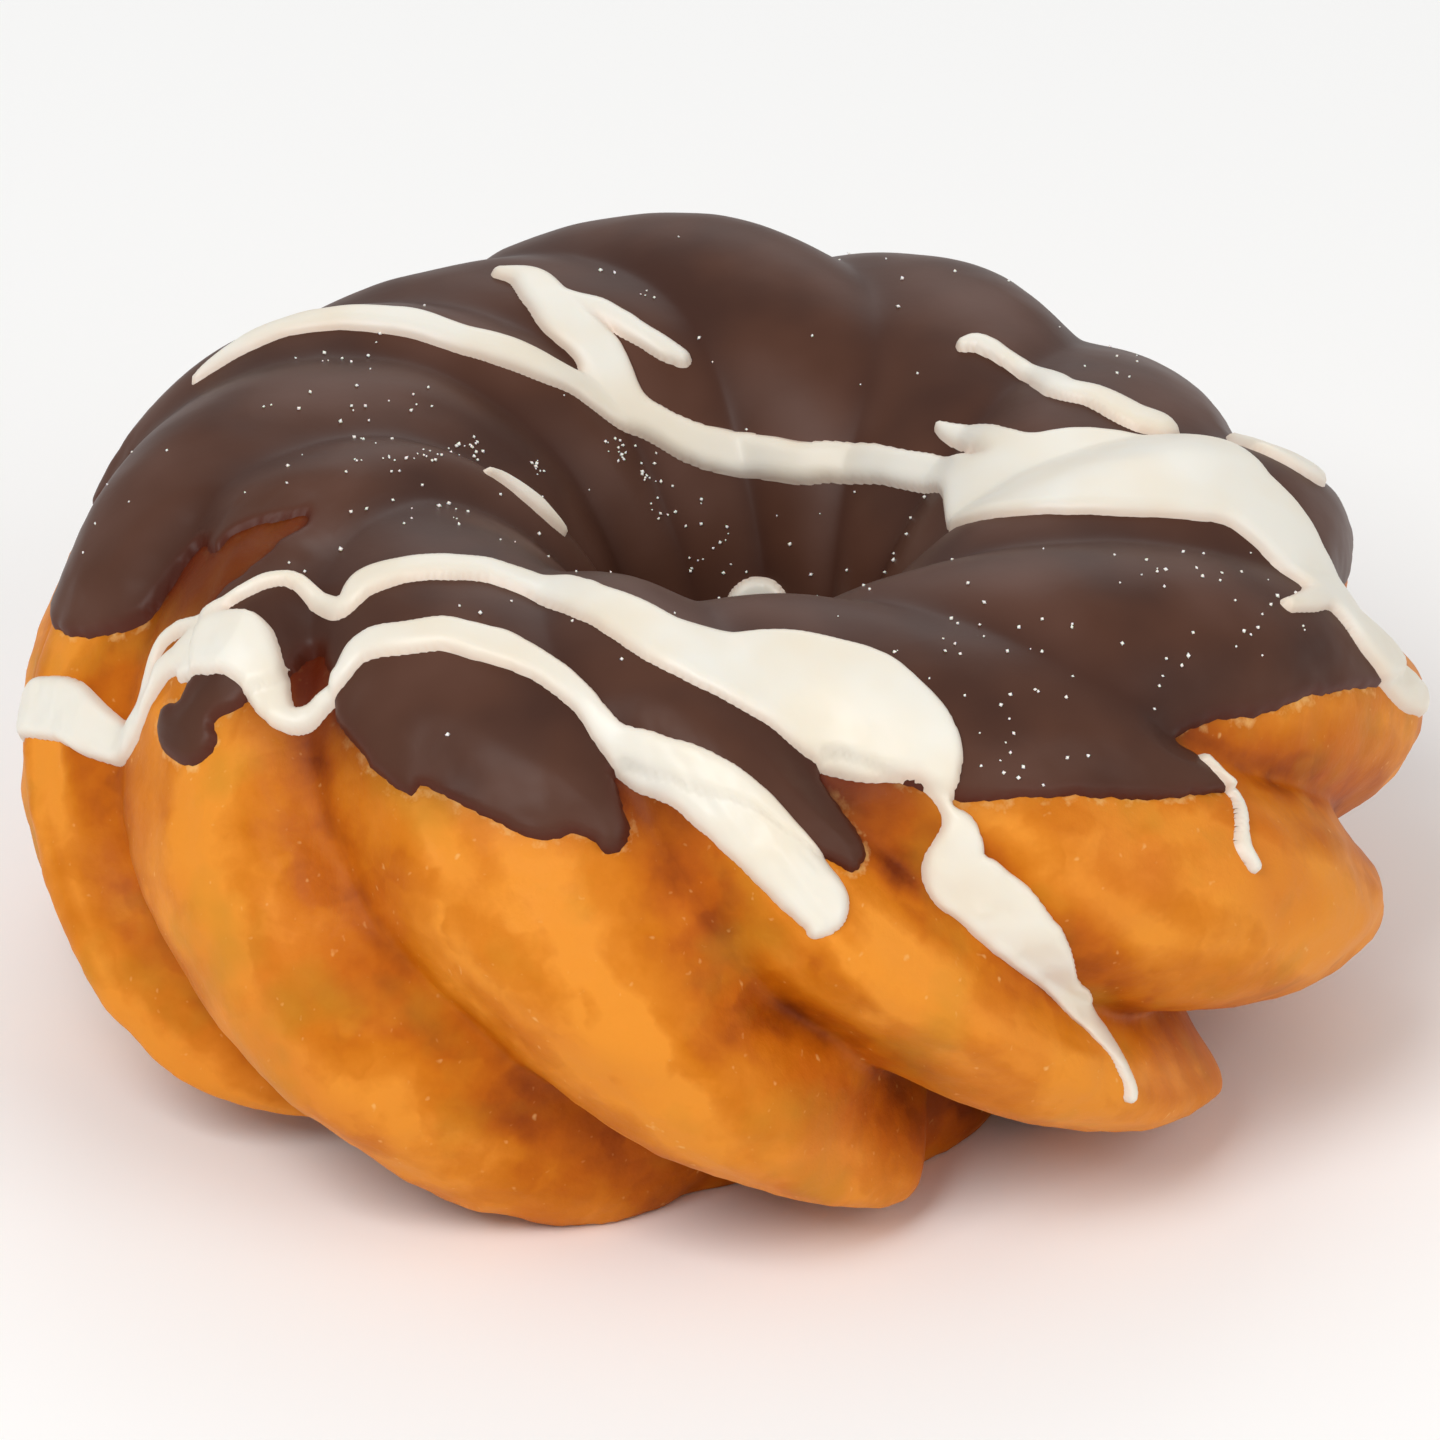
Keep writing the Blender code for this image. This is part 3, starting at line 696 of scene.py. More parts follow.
@dataclass(frozen=True)
class IcingEdge:
    """Where the chocolate icing ends, and how far inside or outside it any place lies."""

    # The (lobe, angle) points of the outer edge: a tongue on each ridge, a bare notch in each groove
    outline: tuple[tuple[float, float], ...] = (
        (0.06, 29), (0.25, 35), (0.5, 41), (0.7, 38), (1.1, 36), (1.5, 56), (2.1, 40), (2.55, 60),
        (3.1, 38), (3.5, 55), (4.05, 42), (4.6, 62), (5.1, 37), (5.55, 58), (6.1, 40), (6.5, 52), (6.9, 39),
        (7.1, 40), (7.22, 43), (7.37, 49), (7.47, 55), (7.5, 58.8), (7.51, 61.2), (7.52, 63.5),
        (7.53, 66.5), (7.56, 69.8), (7.64, 71), (7.74, 71), (7.79, 71.8), (7.82, 74.8), (7.88, 78),
        (7.95, 80.5), (8.03, 83.2), (8.1, 85.2), (8.15, 87), (8.18, 86.4), (8.19, 85), (8.16, 82.5),
        (8.13, 80), (8.12, 77.8), (8.1, 75.5), (8.07, 73.2), (7.99, 68), (7.965, 64), (7.96, 60),
        (7.98, 55), (7.95, 51.5), (7.92, 48.8), (7.85, 46.5), (7.83, 43.5), (7.85, 41), (7.91, 39.8),
        (7.98, 40.2), (8.04, 41.8), (8.09, 44.5), (8.115, 47.2), (8.105, 49), (8.13, 50.8), (8.18, 52.6),
        (8.23, 55.3), (8.29, 58), (8.36, 61), (8.42, 65), (8.49, 70), (8.56, 71), (8.61, 67), (8.63, 62.5),
        (8.66, 59), (8.71, 57), (8.76, 53.5), (8.85, 51), (8.9, 53), (8.98, 51.5), (9.07, 49.5), (9.14, 48),
        (9.21, 48.5), (9.26, 50), (9.31, 49.5), (9.33, 47.5), (9.39, 49.5), (9.44, 54), (9.48, 61),
        (9.54, 64), (9.65, 61), (9.8, 57.5), (10.0, 54.5), (10.1, 49), (10.2, 45.5), (10.27, 43.5),
        (10.35, 45), (10.42, 48), (10.47, 54), (10.52, 63), (10.6, 65), (10.7, 58), (10.77, 53),
        (10.84, 51), (10.94, 49.5), (11.05, 47), (11.14, 43), (11.22, 40.5), (11.32, 37.5), (11.39, 41),
        (11.46, 45.5), (11.5, 50.5), (11.56, 51.5), (11.65, 50), (11.72, 46), (11.78, 44), (11.86, 42),
        (11.93, 36), (11.98, 31),
    )
    steps: int = 40
    reach: float = 0.75                     # lobes that a place looks to either side for the nearest edge
    ragged_mm: float = 0.12                 # how far the edge wanders
    ragged_size_mm: float = 0.9

    def line(self) -> Array:
        """Draws the outer edge as a smooth closed curve.

        Returns:
            Its (lobe, angle) samples, a little past both ends.
        """
        lobes = FORM.lobes
        head = [(lobe + lobes, angle) for lobe, angle in self.outline[:3]]
        tail = [(lobe - lobes, angle) for lobe, angle in self.outline[-3:]]
        return smooth_line([*tail, *self.outline, *head], self.steps)

    def depth(self, lobe: Array, angle: Array) -> Array:
        """How far inside the icing a place lies, in millimetres, and less than 0 outside it.

        It is the distance to the nearest sample of the edge, along the icing's smooth face. Its sign comes
        from how often the edge passes over the place on the way up: a place that it passes over an even
        number of times is iced. Small noise makes the edge ragged.

        Args:
            lobe: of each place.
            angle: of each place, the same shape.

        Returns:
            The depths, the same shape.
        """
        line = self.line()
        samples = FORM.place(line[:, 0], line[:, 1], FORM.crest_radius(line[:, 0], line[:, 1])) / MM
        flat_lobe, flat_angle = lobe.ravel() % FORM.lobes, wrapped(angle).ravel()
        places = FORM.place(flat_lobe, flat_angle, FORM.crest_radius(flat_lobe, flat_angle)) / MM
        order = np.argsort(flat_lobe, kind="stable")
        result = np.empty(len(order))
        for part in blocks(len(order), 3000):
            index = order[part]
            low, high = flat_lobe[index[0]] - self.reach, flat_lobe[index[-1]] + self.reach
            near = np.zeros(len(line), bool)
            for turn in (-FORM.lobes, 0, FORM.lobes):
                near |= (line[:, 0] + turn > low) & (line[:, 0] + turn < high)
            gap = ((places[index, None] - samples[None, near]) ** 2).sum(-1).min(1)
            start, end = line[:-1], line[1:]
            here = flat_lobe[index, None]
            close = (np.minimum(start[:, 0], end[:, 0]) < high) & (np.maximum(start[:, 0], end[:, 0]) > low)
            start, end = start[close], end[close]
            between = (start[:, 0] <= here) != (end[:, 0] <= here)
            run = np.where(end[:, 0] == start[:, 0], 1, end[:, 0] - start[:, 0])
            height = start[:, 1] + (here - start[:, 0]) / run * (end[:, 1] - start[:, 1])
            passes = (between & (height > flat_angle[index, None])).sum(1)
            result[index] = np.sqrt(gap) * np.where(passes % 2 == 0, 1, -1)
        ragged = LatticeNoise(11).layered(places / self.ragged_size_mm, 2) * self.ragged_mm
        hole_edge = FORM.hole_edge + FORM.hole_edge_wave * np.cos(2 * np.pi * flat_lobe)
        above_hole_edge = np.radians(hole_edge - flat_angle) * FORM.half_width / MM
        return (np.minimum(result, above_hole_edge) + ragged).reshape(lobe.shape)


EDGE = IcingEdge()


# ---------------------------------------------------------------------------------------------------------
# The pieces
# ---------------------------------------------------------------------------------------------------------


@dataclass(frozen=True)
class FriedChouxRing:
    """The ring of dough, with its ridges, its uneven crust and the values that its finish reads."""

    columns_per_lobe: int = 42
    rows: tuple[int, int, int] = (128, 22, 46)  # on bare dough, under the icing, and past the hole's edge
    bare_to: ValueTable = ((0, 70), (7.1, 70), (7.6, 94), (8.1, 94), (8.5, 82), (9.0, 72), (12, 70))
    iced_to: float = 198
    lump_mm: float = 6.5                    # size and height of the crust's lumps, bumps and streaks
    lump_height_mm: float = 0.30
    bump_mm: float = 2.3
    bump_height_mm: float = 0.16
    streak_height_mm: float = 0.12
    streaks_per_lobe: int = 9
    streak_angle: float = 22                # degrees round the tube that a streak runs
    notch_shadow_from: float = 44                  # angles between which the dough gets painted shadow beside the icing
    notch_shadow_to: float = 120
    rim_mm: float = 1.3                     # how far from the icing its rim of pale crumbs reaches
    shade_softness: float = 0.45            # how gently a groove's brown and painted shade set in
    underside_shade: float = 0.3              # painted shade: how much darker the whole underside is
    edge_angles: tuple[float, float] = (20, 100)    # between which the icing's outer edge runs
    far_outside: float = -9.0               # the depth that places past those angles are given

    def streaks(self, lobe: Array, angle: Array) -> Array:
        """Draws noise out along the ridges. It fades towards the underside, where its ends would meet.

        Args:
            lobe: of each place.
            angle: of each place, in degrees.

        Returns:
            Values from about -1 to 1.
        """
        noise = LatticeNoise(5, (FORM.lobes * self.streaks_per_lobe, 32, 1))
        places = np.stack((lobe * self.streaks_per_lobe, angle / self.streak_angle + 40, 0 * lobe), axis=-1)
        fade = ease((wrapped(angle) + 88) / 25) * ease((268 - wrapped(angle)) / 25)
        return noise.layered(places, 2) * fade

    def relief(self, lobe: Array, angle: Array) -> Array:
        """Sums the crust's lumps, finer bumps and streaks.

        Args:
            lobe: of each place.
            angle: of each place, in degrees.

        Returns:
            How far the crust stands out from the even form, in metres.
        """
        even = FORM.place(lobe, angle, FORM.dough_radius(lobe, angle)) / MM
        lumps = LatticeNoise(2).at(even / self.lump_mm) * self.lump_height_mm
        bumps = LatticeNoise(3).layered(even / self.bump_mm, 3) * self.bump_height_mm
        return (lumps + bumps + self.streaks(lobe, angle) * self.streak_height_mm) * MM

    def radius(self, lobe: Array, angle: Array) -> Array:
        """Distance of the crust from the tube's middle."""
        return FORM.dough_radius(lobe, angle) + self.relief(lobe, angle)

    def groove_shade(self, angle: Array) -> Array:
        """How much painted shade the grooves get round the tube: darkest low down, where they are deepest."""
        return eased(wrapped(angle), ((-90, 1.3), (-60, 1.25), (-25, 0.95), (0, 0.88), (40, 0.9), (270, 1.3)))

    def notch_shadow(self, angle: Array, depth: Array) -> Array:
        """Works out the painted shadow on the dough: in the notches' tops, most at their edges.

        Args:
            angle: of each place, in degrees.
            depth: millimetres inside the icing's edge, and less than 0 outside it.

        Returns:
            0 for no painted shadow to 1 for the darkest.
        """
        top = 0.9 * ease((angle - self.notch_shadow_from) / 22)
        rim = 0.95 * np.exp(-((np.minimum(depth, 0) / 1.5) ** 2)) * ease((angle - self.notch_shadow_from - 6) / 12)
        return np.maximum(top, rim) * (angle < self.notch_shadow_to)

    def build(self) -> bpy.types.Object:
        """Makes the ring's mesh and its finish.

        The points lie on a (lobe, angle) grid whose rows are close together on the bare dough. The last
        row of faces joins the first row of points, five ridges on, so the surface is closed.

        Returns:
            The piece.
        """
        columns = FORM.lobes * self.columns_per_lobe
        lobe = np.arange(columns) / self.columns_per_lobe
        starts = np.cumsum((0, *self.rows))
        bare_to = eased(lobe, self.bare_to)
        stops = np.stack((np.full(columns, -90.0), bare_to, np.full(columns, self.iced_to),
                          np.full(columns, 270.0)), axis=-1)
        rows = np.arange(starts[-1])
        angle = np.stack([np.interp(rows, starts, stop) for stop in stops])
        lobe = np.broadcast_to(lobe[:, None], angle.shape)
        points = FORM.place(lobe, angle, self.radius(lobe, angle))
        number = np.arange(angle.size).reshape(angle.shape)
        last = np.roll(number[:, :1], FORM.lobes_passed * self.columns_per_lobe, axis=0)
        depth = np.full(angle.shape, self.far_outside)
        near = (angle > self.edge_angles[0]) & (angle < self.edge_angles[1])
        depth[near] = EDGE.depth(lobe[near], angle[near])
        share = FORM.groove_share(lobe, np.full(angle.shape, self.shade_softness))
        values = {
            # painted shade: the grooves darker, most low down, and the whole underside darker
            "groove": share * self.groove_shade(angle) + self.underside_shade * ease((-45 - angle) / 30),
            "streak": self.streaks(lobe, angle),
            # painted shadow in the notches' tops
            "notch_shadow": self.notch_shadow(angle, depth),
            "rim": np.exp(-((np.minimum(depth, 0) / self.rim_mm) ** 2)),
        }
        piece = new_piece("fried_choux_ring", points.reshape(-1, 3), grid_quads(np.hstack((number, last))),
                          FriedChouxFinish().material(), values)
        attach(piece, BODY)
        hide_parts("choux_ring")
        return piece


@dataclass(frozen=True)
class ChocolateCoat:
    """The dipped coat of chocolate icing, from its ragged outer edge over the top and into the hole."""

    dough: FriedChouxRing
    columns: int = 660
    rows: tuple[int, int, int] = (80, 34, 14)   # at the outer edge, over the top, and at the hole's edge
    outer_to: ValueTable = ((0, 82), (7.1, 82), (7.6, 98), (8.1, 98), (8.5, 86), (9.0, 82), (12, 82))
    from_angle: float = 26
    hole_from: float = 194
    to_angle: float = 217
    inner_rows: int = 14
    lip: float = 0.6                        # millimetres in which the edge rounds up
    lip_share: float = 0.45                 # share of the full height that it rounds up to
    thin: float = 4.5                       # millimetres in which the icing gains the rest
    least: float = 0.5 * MM                 # thickness that it keeps over the crust's highest lumps
    sunk: float = 0.5 * MM                  # depth in the dough beyond the edge
    wave_mm: float = 5.0
    wave_height_mm: float = 0.10
    valley_shade_share: float = 0.5               # how much of its painted shade and darker brown a valley shows
    valley_shade_softness: float = 0.25           # how gently that shade and brown set in
    thin_edge: float = 0.35                 # millimetres in which the edge's redder brown fades
    edge_share: float = 0.8                 # how much of that brown the very edge shows

    def radius(self, lobe: Array, angle: Array, depth: Array) -> Array:
        """Distance of the outer face from the tube's middle.

        Inside the edge the face rises from the crust as a quarter circle to a share of the icing's full
        height, and gains the rest further in. Outside the edge it dives under the crust.

        Args:
            lobe: of each place.
            angle: of each place.
            depth: millimetres inside the edge.

        Returns:
            The distances, in metres.
        """
        crust = self.dough.radius(lobe, angle)
        even = FORM.place(lobe, angle, FORM.icing_radius(lobe, angle)) / MM
        waves = LatticeNoise(7).layered(even / self.wave_mm, 2) * self.wave_height_mm * MM
        full = np.maximum(FORM.icing_radius(lobe, angle) + waves, crust + self.least)
        dive = np.minimum(self.sunk, (0.05 - 1.6 * depth) * MM)
        share = self.lip_share * rounded_lip(depth, self.lip) + (1 - self.lip_share) * ease(depth / self.thin)
        return np.where(depth > 0, crust + (full - crust) * share, crust - dive)

    def grid(self) -> tuple[Array, Array]:
        """Lays out the outer face's grid, its rows close together at both edges.

        Returns:
            The lobes and the angles, as (column, row) grids.
        """
        lobe = np.arange(self.columns) * FORM.lobes / self.columns
        starts = np.cumsum((0, *self.rows))
        ends = (np.full(self.columns, self.from_angle), eased(lobe, self.outer_to),
                np.full(self.columns, self.hole_from), np.full(self.columns, self.to_angle))
        rows = np.arange(starts[-1] + 1)
        angle = np.stack([np.interp(rows, starts, stop) for stop in np.stack(ends, axis=-1)])
        return np.broadcast_to(lobe[:, None], angle.shape), angle

    def build(self) -> bpy.types.Object:
        """Makes the coat's mesh and its finish.

        The outer face is closed by a plain inner face inside the dough, with the same columns.

        Returns:
            The piece.
        """
        lobe, angle = self.grid()
        depth = EDGE.depth(lobe, angle)
        outer = FORM.place(lobe, angle, self.radius(lobe, angle, depth))
        inner_lobe = np.broadcast_to(lobe[:, :1], (self.columns, self.inner_rows))
        back = np.linspace(self.to_angle, self.from_angle, self.inner_rows)
        inner_angle = np.broadcast_to(back, inner_lobe.shape)
        inner_radius = FORM.dough_radius(inner_lobe, inner_angle) - 3 * self.sunk
        inner = FORM.place(inner_lobe, inner_angle, inner_radius)
        number = np.arange(outer[..., 0].size).reshape(outer.shape[:2])
        inside = number.size + np.arange(inner[..., 0].size).reshape(inner.shape[:2])
        loop = np.hstack((number, inside, number[:, :1]))
        points = np.concatenate((outer.reshape(-1, 3), inner.reshape(-1, 3)))
        edge = np.exp(-np.maximum(depth, 0) / self.thin_edge)
        edge = np.concatenate((edge.ravel(), np.ones(inside.size))) * self.edge_share
        # painted shade in the valleys, with the thicker icing's darker brown
        valley_shade_and_pooling = FORM.groove_share(lobe, np.full(lobe.shape, self.valley_shade_softness)) ** 2 * self.valley_shade_share
        valley_shade_and_pooling = np.concatenate((valley_shade_and_pooling.ravel(), np.zeros(inside.size)))
        piece = new_piece("chocolate_coat", points, grid_quads(loop), SetChocolateFinish().material(),
                          {"edge": edge, "valley_shade_and_pooling": valley_shade_and_pooling})
        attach(piece, BODY)
        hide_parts("chocolate_icing")
        return piece


@dataclass(frozen=True)
class WhiteDrizzle:
    """The white icing: strands and pools that run into each other, lying on whatever is under them."""

    coat: ChocolateCoat
    # Each strand: the (lobe, angle, width in millimetres) of the points on its middle line
    strands: tuple[Route, ...] = (
        # the long strand over the back, and the pool that it ends in
        ((6.33, 65, 0.5), (6.29, 67.5, 1.0), (6.22, 71, 1.6), (6.16, 76, 2.1), (6.14, 83, 2.5),
         (6.13, 92, 2.6), (6.12, 103, 2.4), (5.87, 112, 2.8), (5.42, 122.5, 2.5), (4.98, 129.5, 2.7),
         (4.5, 131.5, 2.9), (4, 132, 2.8), (3.5, 129, 2.9), (2.9, 126, 2.7), (2.45, 122, 3.0),
         (1.95, 118, 3.2)),
        ((1.92, 118, 3.6), (1.67, 115, 6.5), (1.43, 110, 10.0), (1.28, 103, 12.3), (1.19, 95, 13.8),
         (1.13, 88, 13.6), (1.05, 81, 12.0), (0.92, 74.5, 8.6), (0.83, 70, 7.0)),
        # the run from the pool down the right side, and the small hook beside it
        ((0.84, 71, 6.8), (0.72, 64, 6.8), (0.57, 57, 5.8), (0.44, 50, 4.5), (0.29, 45.5, 3.8),
         (0.17, 40, 4.0), (0.07, 33, 4.2), (0, 26, 3.8), (-0.04, 19, 2.2)),
        ((0.22, 56, 1.2), (0.3, 53, 1.8), (0.45, 50, 2.2)),
        # the branches on the left and on the right
        ((5.06, 86, 1.0), (5.04, 90, 2.5), (5.18, 97, 3.2), (5.28, 104, 3.4), (5.29, 111, 3.4),
         (5.4, 121, 3.0)),
        ((5.1, 99, 1.6), (5, 103, 1.9), (4.93, 108, 1.9), (4.82, 112, 1.8), (4.72, 114, 1.3)),
        ((2.72, 116, 0.9), (2.62, 115.5, 1.5), (2.42, 113.5, 2.1), (2.06, 111, 2.7), (1.76, 108, 3.2)),
        ((2.91, 101, 1.0), (2.83, 99, 1.5), (2.67, 98, 1.6), (2.47, 96.5, 1.9), (2.14, 96, 2.4),
         (1.95, 92, 2.6), (1.72, 87, 3.0), (1.62, 83, 3.0)),
        ((1.5, 66, 1.2), (1.28, 66, 2.0), (1.2, 64, 2.8), (1.15, 60.5, 3.0), (1.11, 57, 2.4),
         (1.09, 54.5, 1.2)),
        # the line down into the hole on the left, and the drop on the hole's far side
        ((8, 119.5, 0.7), (7.97, 123, 1.2), (8.02, 128.5, 1.3), (8.08, 132, 0.9), (8.1, 136, 0.4)),
        ((4.9, 158, 1.4), (4.6, 160, 4.4), (4.22, 160.5, 2.4)),
        # the upper strand over the front, from the left side
        ((6.6, 17, 3.0), (6.9, 23, 3.6), (7.12, 28, 4.4), (7.26, 31, 4.6), (7.4, 32, 3.9), (7.53, 34, 3.1),
         (7.64, 39, 2.0)),
        ((7.6, 37, 2.2), (7.67, 43, 1.7), (7.71, 53, 1.5), (7.8, 58, 1.2), (7.95, 62, 0.9), (8.1, 68, 0.9),
         (8.25, 74, 1.3), (8.4, 77, 1.4), (8.55, 77, 1.4), (8.66, 78, 1.8), (8.74, 83, 2.8), (8.88, 88, 2.8),
         (9.06, 93, 2.7), (9.25, 97, 2.9), (9.5, 99.5, 3.2), (9.7, 97, 3.0)),
        # its pool, and the run from there down the front groove
        ((9.6, 99, 3.0), (9.85, 93, 3.5), (10.1, 87, 4.6), (10.34, 84, 6.4), (10.5, 82, 7.4),
         (10.64, 78, 8.0), (10.74, 73, 8.6), (10.8, 68, 7.4), (10.84, 62, 4.2), (10.8, 57, 2.0)),
        ((10.79, 58, 2.0), (10.73, 52, 1.0), (10.7, 48, 2.3), (10.64, 44, 3.4), (10.58, 40, 4.2),
         (10.58, 35, 4.6), (10.58, 30, 4.6), (10.565, 25, 4.0), (10.55, 20, 2.8)),
        ((10.56, 22, 3.4), (10.52, 12, 2.5), (10.46, 3, 2.3), (10.35, -5, 1.8), (10.2, -10, 1.4),
         (10.08, -14, 1.1)),
        # the lower strand: its blot on the left, its line, and its wide end on the front ridge
        ((7.7, 42, 0.9), (7.75, 47, 1.2), (7.8, 51.5, 1.8), (7.88, 55, 2.4), (7.96, 58, 3.0),
         (8.05, 60, 3.6)),
        ((7.93, 53, 0.9), (8.01, 57, 2.6), (8.1, 60.5, 4.6), (8.2, 62.5, 4.8), (8.3, 61.5, 3.4),
         (8.34, 58.5, 2.0)),
        ((8.32, 59, 1.9), (8.39, 57, 1.8), (8.47, 58.5, 1.8), (8.58, 63, 1.6), (8.67, 67, 1.7),
         (8.76, 72, 2.4), (8.92, 75.5, 2.6), (9.1, 79, 2.8), (9.3, 80, 3.0), (9.44, 78, 2.3),
         (9.52, 73.5, 1.7), (9.56, 68, 2.0), (9.63, 64.5, 2.8)),
        ((9.6, 66, 2.0), (9.7, 63, 3.2), (9.82, 59, 4.2), (9.91, 54, 4.6), (9.95, 48, 4.5), (9.97, 42, 4.4),
         (9.97, 38, 4.0), (9.92, 35, 2.6), (9.84, 32.5, 1.0)),
        ((9.97, 42, 3.5), (10.03, 40, 1.6)),
        # the short line on the right
        ((11.43, 45, 0.7), (11.36, 41, 0.8), (11.29, 36, 0.9), (11.17, 31, 1.1), (11.1, 27.5, 1.35),
         (11.06, 24, 1.2)),
    )
    steps: int = 30                         # samples between two points of a strand's route
    columns: int = 1230
    row_angle: float = 0.69                 # degrees between rows
    angles: tuple[float, float] = (-26, 170)
    height: float = 0.75 * MM
    shoulder: float = 0.95                  # millimetres in which the edge rounds up to the full height
    merge_mm: float = 0.35                  # how softly strands run into each other
    margin: float = 0.55                    # millimetres that the mesh goes on under the icing's face
    wander_mm: float = 0.14                 # how far its outline wanders, in waves of this size
    wander_size_mm: float = 2.6
    ragged_mm: float = 0.05                 # and in finer ones
    ragged_size_mm: float = 1.4
    tuck: float = 0.35                      # millimetres that its margin dives under what it lies on
    thin_edge: float = 0.22                 # millimetres in which the edge's warmer white fades
    edge_share: float = 0.7                 # how much of that white the very edge shows
    bedding: float = 0.6 * MM               # depth of the drizzle's underside in what it lies on

    def depth(self, places: Array) -> Array:
        """How far inside the drizzle each grid point lies, in millimetres, and less than 0 outside it.

        A strand is a row of discs along its smooth middle line, and a point's depth in it is the most by
        which a disc's radius exceeds the point's distance from the disc's middle. Over the strands it is
        the soft maximum: the logarithm of the summed exponentials.

        Args:
            places: of the grid points, in millimetres, as a (column, row) grid.

        Returns:
            The depths, as a grid.
        """
        total = np.zeros(places.shape[:-1])
        for strand in self.strands:
            line = smooth_line(strand, self.steps)
            middle = FORM.place(line[:, 0], line[:, 1], FORM.icing_radius(line[:, 0], line[:, 1])) / MM
            low, high = middle.min(0), middle.max(0)
            room = line[:, 2].max() / 2 + 2
            near = ((places > low - room) & (places < high + room)).all(-1)
            chosen = places[near]
            best = np.empty(len(chosen))
            for part in blocks(len(chosen), 3000):
                gap = np.linalg.norm(chosen[part, None] - middle[None], axis=-1)
                best[part] = (line[None, :, 2] / 2 - gap).max(1)
            total[near] += np.exp(np.maximum(best, -5) / self.merge_mm)
        ragged = LatticeNoise(13).layered(places / self.ragged_size_mm, 2) * self.ragged_mm
        ragged += LatticeNoise(14).at(places / self.wander_size_mm) * self.wander_mm
        return self.merge_mm * np.log(np.maximum(total, 1e-9)) + ragged

    def build(self) -> bpy.types.Object:
        """Makes the drizzle's mesh and its finish.

        The squares of a fine (lobe, angle) grid that lie in the drizzle, or within the margin outside it,
        become the upper face. A copy of them deeper down, and a strip round the outline, close it.

        Returns:
            The piece.
        """
        first, last = self.angles
        rows = np.arange(first, last, self.row_angle)
        lobe, angle = np.meshgrid(np.arange(self.columns) * FORM.lobes / self.columns, rows, indexing="ij")
        places = FORM.place(lobe, angle, FORM.icing_radius(lobe, angle)) / MM
        depth = self.depth(places)
        number = np.arange(lobe.size).reshape(lobe.shape)
        quads = grid_quads(number)
        quads = quads[(depth.ravel()[quads] > -self.margin).all(1)]
        used, quads = np.unique(quads, return_inverse=True)
        quads = quads.reshape(-1, 4)
        lobe, angle, depth = lobe.ravel()[used], angle.ravel()[used], depth.ravel()[used]
        base = self.base(lobe, angle)
        rise = np.where(depth > 0, self.height * rounded_lip(depth, self.shoulder),
                        np.maximum(1.5 * depth, -self.tuck) * MM)
        top = FORM.place(lobe, angle, base + rise)
        bottom = FORM.place(lobe, angle, base - self.bedding)
        below = quads[:, ::-1] + len(used)
        points = np.concatenate((top, bottom))
        edge = np.exp(-np.maximum(depth, 0) / self.thin_edge)
        edge = np.concatenate((edge, np.ones(len(edge)))) * self.edge_share
        faces = np.concatenate((quads, below, self.rim(quads, len(used))))
        piece = new_piece("white_drizzle", points, faces, SetWhiteIcingFinish().material(), {"edge": edge})
        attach(piece, BODY)
        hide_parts("chocolate_icing")
        return piece

    def base(self, lobe: Array, angle: Array) -> Array:
        """Finds what the drizzle lies on: the icing, or bare crust.

        Args:
            lobe: of each place.
            angle: of each place, in degrees.

        Returns:
            Its distance from the tube's middle, in metres.
        """
        depth = EDGE.depth(lobe, angle)
        covered = self.coat.radius(lobe, angle, np.maximum(depth, 0))
        return np.maximum(covered, self.coat.dough.radius(lobe, angle))

    def rim(self, quads: Array, count: int) -> Array:
        """Squares that join the outline of the upper face to the lower one.

        Args:
            quads: the upper face's squares.
            count: points of the upper face, which the lower ones follow.

        Returns:
            One square for each edge that only one upper square has.
        """
        sides = np.concatenate([quads[:, (i, (i + 1) % 4)] for i in range(4)])
        key = sides.min(1).astype(np.int64) * count + sides.max(1)
        _, index, times = np.unique(key, return_index=True, return_counts=True)
        single = sides[index[times == 1]]
        return np.stack((single[:, 1], single[:, 0], single[:, 0] + count, single[:, 1] + count), axis=-1)


